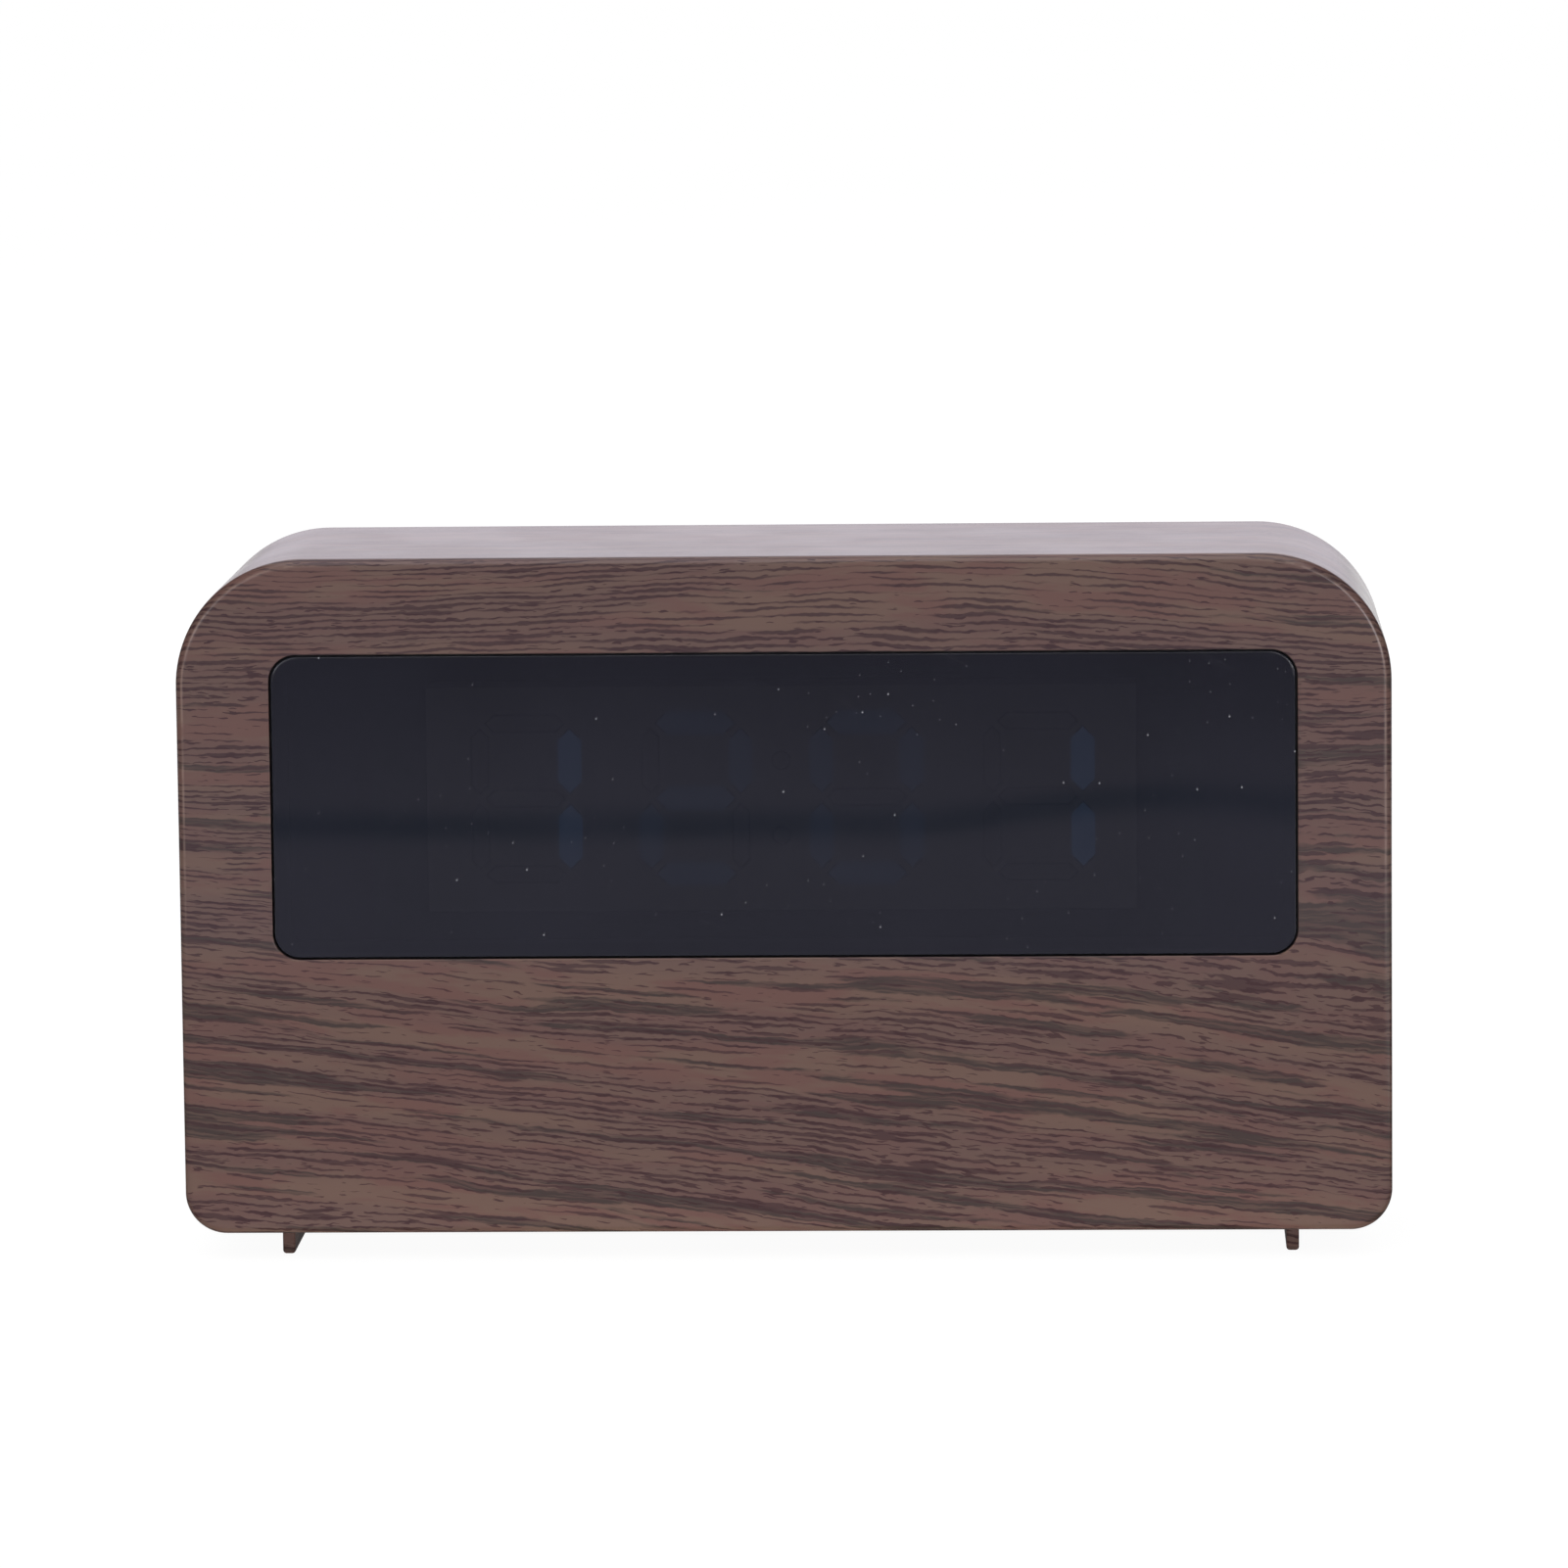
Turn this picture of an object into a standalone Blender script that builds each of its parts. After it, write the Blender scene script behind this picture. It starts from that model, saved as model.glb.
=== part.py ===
"""A table clock with a wood-print moulded case and a dark window, built as separate pieces.

x runs right as seen from the front, y runs back and z runs up. The front faces -y.
The origin is on the table, under the middle of the clock.
"""

import math

import bmesh
import bpy
from mathutils import Matrix, Vector

MM = 0.001

# Clearances
GAP = 0.3 * MM
OVERRUN = 1.0 * MM

# Case
CASE_WIDTH = 180.0 * MM
CASE_HEIGHT = 101.2 * MM
CASE_DEPTH = 49.0 * MM
CASE_WALL = 2.2 * MM
TOP_RADIUS = 19.0 * MM
BOTTOM_RADIUS = 6.2 * MM
LEAST_RADIUS = 0.5 * MM
FRONT_FILLET = 1.2 * MM
REAR_FILLET = 0.4 * MM
RIM_WALL = 1.3 * MM

# Blade feet, moulded under the case
FOOT_HEIGHT = 4.5 * MM
FOOT_THICKNESS = 1.9 * MM
FOOT_LENGTH = 33.0 * MM
FOOT_SETBACK = 8.0 * MM
FOOT_INSET = 13.7 * MM
FOOT_FILLET = 0.5 * MM

# Window and lens
WINDOW_SIDE_MARGIN = 13.9 * MM
WINDOW_TOP_MARGIN = 14.2 * MM
WINDOW_HEIGHT = 45.6 * MM
WINDOW_RADIUS = 4.0 * MM
LENS_THICKNESS = 2.0 * MM
LENS_RECESS = 0.1 * MM
LENS_BEVEL = 0.25 * MM
LEDGE_WIDTH = 2.5 * MM
LEDGE_THICKNESS = 1.4 * MM
WINDOW_FRAME_WIDTH = 3.0 * MM

# Four-digit display module
DIGIT_COUNT = 4
DIGIT_PITCH = 25.4 * MM
DIGIT_WIDTH = 13.4 * MM
DIGIT_HEIGHT = 22.6 * MM
SEGMENT_WIDTH = 2.8 * MM
SEGMENT_TIP_CLEARANCE = 0.6 * MM
COLON_RADIUS = 1.5 * MM
COLON_RISE = 5.6 * MM
DISPLAY_RAISE = 0.6 * MM
DISPLAY_SHIFT = -0.4 * MM
HOUSING_SIDE_MARGIN = 1.9 * MM
HOUSING_END_MARGIN = 4.1 * MM
HOUSING_DEPTH = 8.0 * MM
HOUSING_WALL = 2.0 * MM
POCKET_DEPTH = 2.0 * MM

# Circuit boards and their screws
BOARD_THICKNESS = 1.6 * MM
DISPLAY_BOARD_WIDTH = 124.0 * MM
BOARD_EDGE = 3.6 * MM
DISPLAY_BOSS_SPREAD = 56.0 * MM
DISPLAY_BOSS_OFFSET = 7.2 * MM
MAIN_BOARD_WIDTH = 98.0 * MM
MAIN_BOARD_BELOW_TOP = 13.3 * MM
MAIN_BOARD_ABOVE_TRAY = 6.0 * MM
POST_RADIUS = 2.6 * MM
PILOT_DEPTH = 7.0 * MM
BOARD_SCREW_RADIUS = 0.9 * MM
BOARD_SCREW_LENGTH = 6.0 * MM
BOARD_SCREW_HEAD_RADIUS = 2.0 * MM
BOARD_SCREW_HEAD_HEIGHT = 1.4 * MM

# Rear cover and its screws
COVER_THICKNESS = 2.2 * MM
COVER_RECESS = 1.0 * MM
COVER_PAD_RADIUS = 4.0 * MM
COVER_PAD_HEIGHT = 1.5 * MM
COVER_SCREW_SIDE = 6.5 * MM
COVER_SCREW_LOW = 9.0 * MM
COVER_SCREW_HIGH = 25.2 * MM
CASE_BOSS_RADIUS = 3.2 * MM
WEB_THICKNESS = 1.4 * MM
COVER_SCREW_RADIUS = 1.2 * MM
COVER_SCREW_LENGTH = 12.0 * MM
COVER_SCREW_HEAD_RADIUS = 2.6 * MM
COVER_SCREW_HEAD_HEIGHT = 1.8 * MM
COVER_SCREW_DEPTH = 0.3 * MM
CASE_PILOT_DEPTH = 14.0 * MM

# Buttons, tact switches and what stands on the main board
BUTTON_NAMES = ("set", "up", "down", "alarm")
BUTTON_PITCH = 16.0 * MM
BUTTON_BELOW_BOARD_TOP = 8.0 * MM
BUTTON_RADIUS = 3.0 * MM
BUTTON_RISE = 0.7 * MM
BUTTON_TRAVEL = 0.5 * MM
BUTTON_EDGE = 0.4 * MM
FLANGE_EXTRA = 1.2 * MM
FLANGE_THICKNESS = 1.0 * MM
STEM_RADIUS = 2.0 * MM
STEM_LENGTH = 2.4 * MM
SWITCH_SIZE = 6.0 * MM
SWITCH_HEIGHT = 3.5 * MM
PLUNGER_RADIUS = 1.7 * MM
PLUNGER_RISE = 1.5 * MM
PLUNGER_SUNK = 0.7 * MM
PART_SPACING = 1.0 * MM
USB_WIDTH = 9.0 * MM
USB_HEIGHT = 3.3 * MM
USB_SHELL = 0.35 * MM
USB_RECESS = 0.8 * MM
USB_CAVITY_DEPTH = 6.6 * MM
USB_TONGUE_WIDTH = 6.7 * MM
USB_TONGUE_THICKNESS = 0.7 * MM
USB_TONGUE_SUNK = 0.9 * MM
BUZZER_RADIUS = 6.0 * MM
BUZZER_HEIGHT = 6.5 * MM
BUZZER_HOLE_RADIUS = 1.1 * MM
BUZZER_HOLE_DEPTH = 2.0 * MM
SOUND_SLOT_COUNT = 5
SOUND_SLOT_PITCH = 2.8 * MM
SOUND_SLOT_WIDTH = 1.4 * MM
SOUND_SLOT_LENGTH = 9.0 * MM
CAPACITOR_PLACE = 4.0 * MM
CAPACITOR_RADIUS = 2.5 * MM
CAPACITOR_HEIGHT = 7.0 * MM
CAPACITOR_EDGE = 0.4 * MM
CHIP_PLACE = -28.0 * MM
CHIP_LENGTH = 17.9 * MM
CHIP_WIDTH = 7.5 * MM
CHIP_HEIGHT = 2.3 * MM
CHIP_LEADS = 14
LEAD_PITCH = 1.27 * MM
LEAD_WIDTH = 0.45 * MM
LEAD_REACH = 1.4 * MM
LEAD_THICKNESS = 0.4 * MM
CRYSTAL_PLACE = 24.0 * MM
CRYSTAL_LENGTH = 11.0 * MM
CRYSTAL_WIDTH = 4.6 * MM
CRYSTAL_HEIGHT = 3.5 * MM

# Battery bay, cells and contacts
CELL_COUNT = 3
CELL_LENGTH = 44.5 * MM
CELL_RADIUS = 5.25 * MM
CELL_EDGE = 0.6 * MM
NUB_RADIUS = 1.9 * MM
NUB_LENGTH = 1.0 * MM
CELL_SPACING = 0.6 * MM
CELL_HEADROOM = 0.5 * MM
BAY_BOTTOM = 9.0 * MM
TRAY_WALL = 1.6 * MM
RIB_WIDTH = 1.2 * MM
RIB_HEIGHT = 2.2 * MM
CONTACT_THICKNESS = 0.5 * MM
CONTACT_WIDTH = 8.6 * MM
CONTACT_HEIGHT = 8.8 * MM
TAB_WIDTH = 3.0 * MM
TAB_REACH = 2.2 * MM
TAB_CLEARANCE = 0.25 * MM
SPRING_LENGTH = 4.4 * MM
SPRING_WIDE_RADIUS = 3.2 * MM
SPRING_NARROW_RADIUS = 1.9 * MM
SPRING_WIRE = 0.35 * MM
SPRING_TURNS = 3

# Battery door
DOOR_THICKNESS = 1.8 * MM
DOOR_LIP = 1.2 * MM
DOOR_RADIUS = 1.5 * MM
HOOK_SPREAD = 14.0 * MM
HOOK_WIDTH = 6.0 * MM
HOOK_REACH = 1.4 * MM
HOOK_RETURN = 1.5 * MM
HOOK_THICKNESS = 1.7 * MM
HOOK_COVER = 1.3 * MM
HOOK_SWING_ROOM = 0.35 * MM
TONGUE_WIDTH = 12.0 * MM
TONGUE_LENGTH = 9.0 * MM
TONGUE_SLOT = 0.8 * MM
GRIP_COUNT = 3
GRIP_PITCH = 1.8 * MM
GRIP_WIDTH = 0.8 * MM
GRIP_DEPTH = 0.5 * MM
GRIP_LENGTH = 8.0 * MM
THUMB_WIDTH = 14.0 * MM
THUMB_HEIGHT = 5.0 * MM
THUMB_DEPTH = 1.1 * MM

# Cables inside
WIRE_RADIUS = 0.65 * MM
WIRE_BEND = 3.0 * MM
WIRE_LANDING_PLACE = 18.0 * MM
WIRE_LANDING_RISE = 3.0 * MM
RIBBON_WIDTH = 12.0 * MM
RIBBON_THICKNESS = 0.9 * MM
RIBBON_SPAN = 7.7 * MM
SOCKET_WIDTH = 15.0 * MM
SOCKET_HEIGHT = 5.0 * MM

# Facet counts and shading
CORNER_SEGMENTS = 14
SMALL_CORNER_SEGMENTS = 6
FILLET_SEGMENTS = 3
ROUND_SIDES = 24
SMALL_SIDES = 16
WIRE_SIDES_RESOLUTION = 2
SPRING_SIDES_RESOLUTION = 1
SPRING_POINTS = 10
ROUTE_POINTS = 4
RIBBON_POINTS = 14
ROUND_PROFILE = 0.5
SHARP_ANGLE = math.radians(32)
PARALLEL = 0.99
WELD = 0.001 * MM

# Heights on the main board, as shares of its height
SMALL_PARTS_share = 0.316
SOCKET_share = 0.553

# Screw recess, as shares of the head
RECESS_ARM_share = 0.62
RECESS_WIDTH_share = 0.26
RECESS_DEPTH_share = 0.6
HEAD_CROWN_share = 0.35

# Places in the depth, from the front to the back
front_face = -CASE_DEPTH / 2
rim_face = CASE_DEPTH / 2
lens_front = front_face + LENS_RECESS
ledge_front = lens_front + LENS_THICKNESS + GAP
ledge_back = ledge_front + LEDGE_THICKNESS
housing_front = ledge_back + GAP
housing_back = housing_front + HOUSING_DEPTH
display_board_front = housing_back + GAP
display_board_back = display_board_front + BOARD_THICKNESS
cover_outer = rim_face - COVER_RECESS
cover_inner = cover_outer - COVER_THICKNESS
button_stack = GAP + FLANGE_THICKNESS + STEM_LENGTH + GAP + PLUNGER_RISE + SWITCH_HEIGHT + GAP
board_back = cover_inner - button_stack
board_front = board_back - BOARD_THICKNESS
door_inner = cover_outer - DOOR_THICKNESS
cell_depth = door_inner - CELL_HEADROOM - CELL_RADIUS
tray_floor = cell_depth - CELL_RADIUS - CELL_HEADROOM
tray_back = tray_floor - TRAY_WALL
socket_depth = (board_front - display_board_back - RIBBON_SPAN - 4 * GAP) / 2

# Places in the height and the width
case_bottom = FOOT_HEIGHT
case_top = FOOT_HEIGHT + CASE_HEIGHT
half_width = CASE_WIDTH / 2
window_top = case_top - WINDOW_TOP_MARGIN
window_bottom = window_top - WINDOW_HEIGHT
window_middle = (window_top + window_bottom) / 2
window_half = half_width - WINDOW_SIDE_MARGIN
display_middle = window_middle + DISPLAY_RAISE
cell_pitch = 2 * CELL_RADIUS + CELL_SPACING
bay_bottom = case_bottom + BAY_BOTTOM
bay_top = bay_bottom + CELL_COUNT * cell_pitch
bay_half = CONTACT_THICKNESS + (5 * GAP + CELL_LENGTH + SPRING_LENGTH) / 2
board_bottom = bay_top + TRAY_WALL + MAIN_BOARD_ABOVE_TRAY
board_top = case_top - MAIN_BOARD_BELOW_TOP
button_height = board_top - BUTTON_BELOW_BOARD_TOP
small_parts_height = board_bottom + (board_top - board_bottom) * SMALL_PARTS_share
socket_height = board_bottom + (board_top - board_bottom) * SOCKET_share
hinge_height = bay_bottom + GAP / 2


def mirrored(x, heights):
    """Places at both sides of the middle, at each of these heights."""
    return [(side * x, height) for height in heights for side in (-1, 1)]


cover_screw_places = mirrored(
    half_width - COVER_SCREW_SIDE, (case_bottom + COVER_SCREW_LOW, case_top - COVER_SCREW_HIGH)
)
display_screw_places = mirrored(
    DISPLAY_BOSS_SPREAD, (window_bottom - DISPLAY_BOSS_OFFSET, window_top + DISPLAY_BOSS_OFFSET)
)
board_screw_places = mirrored(
    MAIN_BOARD_WIDTH / 2 - BOARD_EDGE, (board_bottom + BOARD_EDGE, board_top - BOARD_EDGE)
)


def button_place(index):
    return (index - (len(BUTTON_NAMES) - 1) / 2) * BUTTON_PITCH


buttons_end = button_place(len(BUTTON_NAMES) - 1) + SWITCH_SIZE / 2 + PART_SPACING
buzzer_place = buttons_end + BUZZER_RADIUS
usb_place = -buttons_end - USB_WIDTH / 2


def cell_height(index):
    return bay_bottom + (index + 0.5) * cell_pitch


def digit_place(index):
    return DISPLAY_SHIFT + (index - (DIGIT_COUNT - 1) / 2) * DIGIT_PITCH


# Scene, objects and materials


def clear_scene():
    for obj in list(bpy.data.objects):
        bpy.data.objects.remove(obj)


def new_collection(name):
    collection = bpy.data.collections.new(name)
    bpy.context.scene.collection.children.link(collection)
    return collection


def material(name, colour, roughness, metallic=0.0):
    made = bpy.data.materials.new(name)
    made.use_nodes = True
    shader = made.node_tree.nodes["Principled BSDF"]
    shader.inputs["Base Color"].default_value = (*colour, 1.0)
    shader.inputs["Roughness"].default_value = roughness
    shader.inputs["Metallic"].default_value = metallic
    made.diffuse_color = (*colour, 1.0)
    return made


def see_through(made, share):
    """Makes a material let this share of the light through."""
    made.node_tree.nodes["Principled BSDF"].inputs["Transmission Weight"].default_value = share
    return made


def part(obj, finish):
    """Shades a piece, gives it its material and puts it with the other parts."""
    obj.data.materials.clear()
    obj.data.materials.append(finish)
    obj.data.shade_smooth()
    obj.data.set_sharp_from_angle(angle=SHARP_ANGLE)
    parts.objects.link(obj)
    return obj


def cutter(obj):
    """Puts a helper shape out of the render and draws it as wire."""
    obj.hide_render = True
    obj.display_type = "WIRE"
    cutters.objects.link(obj)
    return obj


def from_bmesh(name, bm):
    """An object from a mesh in world places, with its origin at the middle of its box."""
    corners = [vert.co for vert in bm.verts]
    low = Vector(map(min, *corners))
    high = Vector(map(max, *corners))
    middle = (low + high) / 2
    bmesh.ops.translate(bm, verts=bm.verts, vec=-middle)
    mesh = bpy.data.meshes.new(name)
    bm.to_mesh(mesh)
    bm.free()
    obj = bpy.data.objects.new(name, mesh)
    obj.location = middle
    return obj


def move_origin(obj, place):
    """Moves an object's origin to this place and leaves its shape where it is."""
    shift = obj.location - Vector(place)
    obj.data.transform(Matrix.Translation(shift))
    obj.location = place


def frozen(obj):
    """The object as its modifiers leave it, as a plain mesh with the same place."""
    bpy.context.scene.collection.objects.link(obj)
    graph = bpy.context.evaluated_depsgraph_get()
    mesh = bpy.data.meshes.new_from_object(obj.evaluated_get(graph))
    weld(mesh)
    plain = bpy.data.objects.new(obj.name + "_mesh", mesh)
    plain.matrix_world = obj.matrix_world.copy()
    bpy.data.objects.remove(obj)
    return plain


def weld(mesh):
    bm = bmesh.new()
    bm.from_mesh(mesh)
    bmesh.ops.remove_doubles(bm, verts=bm.verts, dist=WELD)
    bmesh.ops.recalc_face_normals(bm, faces=bm.faces)
    bm.to_mesh(mesh)
    bm.free()


def copies(first, names, places, finish):
    """One piece for each name, sharing one mesh, at (x, y, z) places."""
    for name, place in zip(names, places):
        obj = bpy.data.objects.new(name, first.data)
        obj.rotation_euler = first.rotation_euler
        obj.location = place
        part(obj, finish)


def boolean(target, tool, operation):
    modifier = target.modifiers.new(tool.name, "BOOLEAN")
    modifier.operation = operation
    modifier.solver = "EXACT"
    modifier.object = tool


def join_on(target, *tools):
    for tool in tools:
        boolean(target, cutter(tool), "UNION")


def cut_from(target, *tools):
    for tool in tools:
        boolean(target, cutter(tool), "DIFFERENCE")


def numbered(stem, count):
    return [f"{stem}_{index + 1}" for index in range(count)]


# Shapes


def along_y(edge):
    run = (edge.verts[1].co - edge.verts[0].co).normalized()
    return abs(run.y) > PARALLEL


def add_block(bm, low, high):
    low, high = Vector(low), Vector(high)
    made = bmesh.ops.create_cube(bm, size=1.0)["verts"]
    bmesh.ops.scale(bm, verts=made, vec=high - low)
    bmesh.ops.translate(bm, verts=made, vec=(low + high) / 2)


def round_off(bm, edges, radius, segments):
    bmesh.ops.bevel(
        bm,
        geom=edges,
        offset=radius,
        offset_type="OFFSET",
        segments=segments,
        profile=ROUND_PROFILE,
        affect="EDGES",
    )


def blocks(name, corners):
    """Plain blocks in one mesh, each given by its lowest and highest corner."""
    bm = bmesh.new()
    for low, high in corners:
        add_block(bm, low, high)
    return from_bmesh(name, bm)


def block(name, low, high):
    return blocks(name, [(low, high)])


def rounded_bmesh(low, high, top_radius, bottom_radius, segments):
    bm = bmesh.new()
    add_block(bm, low, high)
    middle = (low[2] + high[2]) / 2
    for upper, radius in ((True, top_radius), (False, bottom_radius)):
        edges = [e for e in bm.edges if along_y(e) and (e.verts[0].co.z > middle) == upper]
        round_off(bm, edges, radius, segments)
    return bm


def rounded_block(name, low, high, radius, segments=SMALL_CORNER_SEGMENTS):
    """A block whose four edges along y are rounded."""
    return from_bmesh(name, rounded_bmesh(low, high, radius, radius, segments))


def case_outline(inset, y_low, y_high):
    """A block in the case's outline, drawn in by an inset."""
    return rounded_bmesh(
        (-half_width + inset, y_low, case_bottom + inset),
        (half_width - inset, y_high, case_top - inset),
        max(TOP_RADIUS - inset, LEAST_RADIUS),
        max(BOTTOM_RADIUS - inset, LEAST_RADIUS),
        CORNER_SEGMENTS,
    )


def end_edges(bm, side):
    """The edges round the flat end of a mesh, at the front (-1) or the back (1)."""
    end = max(bm.faces, key=lambda face: side * face.calc_center_median().y)
    return list(end.edges)


def rods(name, radius, y_low, y_high, places, sides=SMALL_SIDES):
    """Cylinders along y in one mesh, at (x, z) places."""
    bm = bmesh.new()
    for x, z in places:
        made = bmesh.ops.create_cone(
            bm,
            cap_ends=True,
            segments=sides,
            radius1=radius,
            radius2=radius,
            depth=y_high - y_low,
        )["verts"]
        bmesh.ops.rotate(bm, verts=made, matrix=Matrix.Rotation(math.pi / 2, 3, "X"))
        bmesh.ops.translate(bm, verts=made, vec=(x, (y_low + y_high) / 2, z))
    return from_bmesh(name, bm)


def prism(name, outlines, y_low, y_high):
    """Flat outlines in x and z, filled and given a thickness along y."""
    curve = bpy.data.curves.new(name, "CURVE")
    curve.dimensions = "2D"
    curve.fill_mode = "BOTH"
    curve.extrude = (y_high - y_low) / 2
    for outline in outlines:
        spline = curve.splines.new("POLY")
        spline.points.add(len(outline) - 1)
        for point, (x, z) in zip(spline.points, outline):
            point.co = (x, z, 0.0, 1.0)
        spline.use_cyclic_u = True
    drawn = bpy.data.objects.new(name, curve)
    drawn.rotation_euler = (math.pi / 2, 0.0, 0.0)
    drawn.location = (0.0, (y_low + y_high) / 2, 0.0)
    return frozen(drawn)


def turned(name, profile, steps=SMALL_SIDES):
    """A profile of (radius, height) from its top down, turned about z."""
    mesh = bpy.data.meshes.new(name)
    points = [(radius, 0.0, height) for radius, height in profile]
    mesh.from_pydata(points, [(i, i + 1) for i in range(len(points) - 1)], [])
    obj = bpy.data.objects.new(name, mesh)
    screw = obj.modifiers.new("turn", "SCREW")
    screw.steps = steps
    screw.render_steps = steps
    screw.use_merge_vertices = True
    screw.merge_threshold = WELD
    return obj


def tube(name, points, radius, resolution):
    """A round wire through these points, closed at both ends."""
    curve = bpy.data.curves.new(name, "CURVE")
    curve.dimensions = "3D"
    curve.bevel_depth = radius
    curve.bevel_resolution = resolution
    curve.use_fill_caps = True
    spline = curve.splines.new("POLY")
    spline.points.add(len(points) - 1)
    for spot, place in zip(spline.points, points):
        spot.co = (*place, 1.0)
    wire = bpy.data.objects.new(name, curve)
    return frozen(wire)


def smooth_route(points, steps):
    """Points along a smooth curve that passes through the given ones."""
    places = [Vector(point) for point in points]
    padded = [places[0] * 2 - places[1], *places, places[-1] * 2 - places[-2]]
    route = []
    for index in range(1, len(padded) - 2):
        before, start, end, after = padded[index - 1 : index + 3]
        for step in range(steps):
            t = step / steps
            line = (end - start) * t + start
            ease_in = (end - before) / 2 - (end - start)
            ease_out = (after - start) / 2 - (end - start)
            bend = ease_in * t * (1 - t) ** 2 - ease_out * t**2 * (1 - t)
            route.append(line + bend)
    route.append(places[-1])
    return route


# Case, lens and feet


def window_block(name, inset, y_low, y_high):
    """A block in the window's outline, drawn in by an inset, or out by a negative one."""
    return rounded_block(
        name,
        (-window_half + inset, y_low, window_bottom + inset),
        (window_half - inset, y_high, window_top - inset),
        max(WINDOW_RADIUS - inset, LEAST_RADIUS),
    )


def foot_block(name, side):
    outer = half_width - FOOT_INSET
    left, right = sorted((side * outer, side * (outer - FOOT_THICKNESS)))
    front = front_face + FOOT_SETBACK
    bm = bmesh.new()
    add_block(bm, (left, front, 0.0), (right, front + FOOT_LENGTH, case_bottom + CASE_WALL / 2))
    lower = [e for e in bm.edges if along_y(e) and e.verts[0].co.z < case_bottom]
    round_off(bm, lower, FOOT_FILLET, FILLET_SEGMENTS)
    return from_bmesh(name, bm)


def boss_webs():
    """Flat webs that tie the four cover bosses to the side walls."""
    corners = []
    for x, z in cover_screw_places:
        side = math.copysign(1, x)
        left, right = sorted((x, side * (half_width - CASE_WALL / 2)))
        low = (left, front_face + CASE_WALL / 2, z - WEB_THICKNESS / 2)
        corners.append((low, (right, case_boss_end - OVERRUN, z + WEB_THICKNESS / 2)))
    return blocks("case_webs", corners)


case_boss_end = cover_inner - COVER_PAD_HEIGHT - GAP


def make_front_case():
    bm = case_outline(0.0, front_face, rim_face)
    round_off(bm, end_edges(bm, -1), FRONT_FILLET, FILLET_SEGMENTS)
    round_off(bm, end_edges(bm, 1), REAR_FILLET, 1)
    case = from_bmesh("front_case", bm)
    wall_middle = front_face + CASE_WALL / 2
    inner_front = front_face + CASE_WALL
    cut_from(
        case,
        from_bmesh("case_hollow", case_outline(CASE_WALL, inner_front, rim_face + OVERRUN)),
        from_bmesh("case_rebate", case_outline(RIM_WALL, cover_inner - GAP, rim_face + OVERRUN)),
    )
    join_on(
        case,
        window_block("case_window_frame", -WINDOW_FRAME_WIDTH, wall_middle, ledge_back),
        rods("case_cover_bosses", CASE_BOSS_RADIUS, wall_middle, case_boss_end, cover_screw_places),
        boss_webs(),
        rods(
            "case_display_bosses",
            POST_RADIUS,
            wall_middle,
            display_board_front - GAP,
            display_screw_places,
        ),
        foot_block("case_foot_left", -1),
        foot_block("case_foot_right", 1),
    )
    cut_from(
        case,
        window_block("case_lens_pocket", 0.0, front_face - OVERRUN, ledge_front),
        window_block("case_ledge_opening", LEDGE_WIDTH, front_face, ledge_back + OVERRUN),
        rods(
            "case_cover_pilots",
            COVER_SCREW_RADIUS + GAP,
            case_boss_end - CASE_PILOT_DEPTH,
            case_boss_end + OVERRUN,
            cover_screw_places,
        ),
        rods(
            "case_display_pilots",
            BOARD_SCREW_RADIUS + GAP,
            display_board_front - GAP - PILOT_DEPTH,
            display_board_front + OVERRUN,
            display_screw_places,
        ),
    )
    part(case, material("wood_print", (0.144, 0.095, 0.082), 0.48))


def make_lens():
    bm = rounded_bmesh(
        (-window_half + GAP, lens_front, window_bottom + GAP),
        (window_half - GAP, lens_front + LENS_THICKNESS, window_top - GAP),
        max(WINDOW_RADIUS - GAP, LEAST_RADIUS),
        max(WINDOW_RADIUS - GAP, LEAST_RADIUS),
        SMALL_CORNER_SEGMENTS,
    )
    round_off(bm, end_edges(bm, -1), LENS_BEVEL, 1)
    tinted = see_through(material("tinted_acrylic", (0.018, 0.020, 0.028), 0.06), 0.4)
    part(from_bmesh("display_lens", bm), tinted)


# Display module


def bar_outline(x, z, length, width, upright):
    """A segment with pointed ends, lying or standing, about its middle."""
    half, side = length / 2, width / 2
    points = [
        (-half, 0.0),
        (-half + side, -side),
        (half - side, -side),
        (half, 0.0),
        (half - side, side),
        (-half + side, side),
    ]
    if upright:
        points = [(-across, along) for along, across in points]
    return [(x + across, z + up) for across, up in points]


def dot_outline(x, z, radius):
    turn = 2 * math.pi / SMALL_SIDES
    angles = [step * turn for step in range(SMALL_SIDES)]
    return [(x + radius * math.cos(a), z + radius * math.sin(a)) for a in angles]


def segment_outlines(inset):
    """All segments of all digits and the colon, each drawn in by an inset."""
    width = SEGMENT_WIDTH - 2 * inset
    tip = SEGMENT_TIP_CLEARANCE + inset * math.sqrt(2)
    lying = DIGIT_WIDTH - 2 * tip
    standing = DIGIT_HEIGHT / 2 - 2 * tip
    outlines = []
    for index in range(DIGIT_COUNT):
        x = digit_place(index)
        for level in (-1, 0, 1):
            z = display_middle + level * DIGIT_HEIGHT / 2
            outlines.append(bar_outline(x, z, lying, width, False))
        for side in (-1, 1):
            for level in (-1, 1):
                across = x + side * DIGIT_WIDTH / 2
                z = display_middle + level * DIGIT_HEIGHT / 4
                outlines.append(bar_outline(across, z, standing, width, True))
    for side in (-1, 1):
        z = display_middle + side * COLON_RISE
        outlines.append(dot_outline(DISPLAY_SHIFT, z, COLON_RADIUS - inset))
    return outlines


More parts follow.
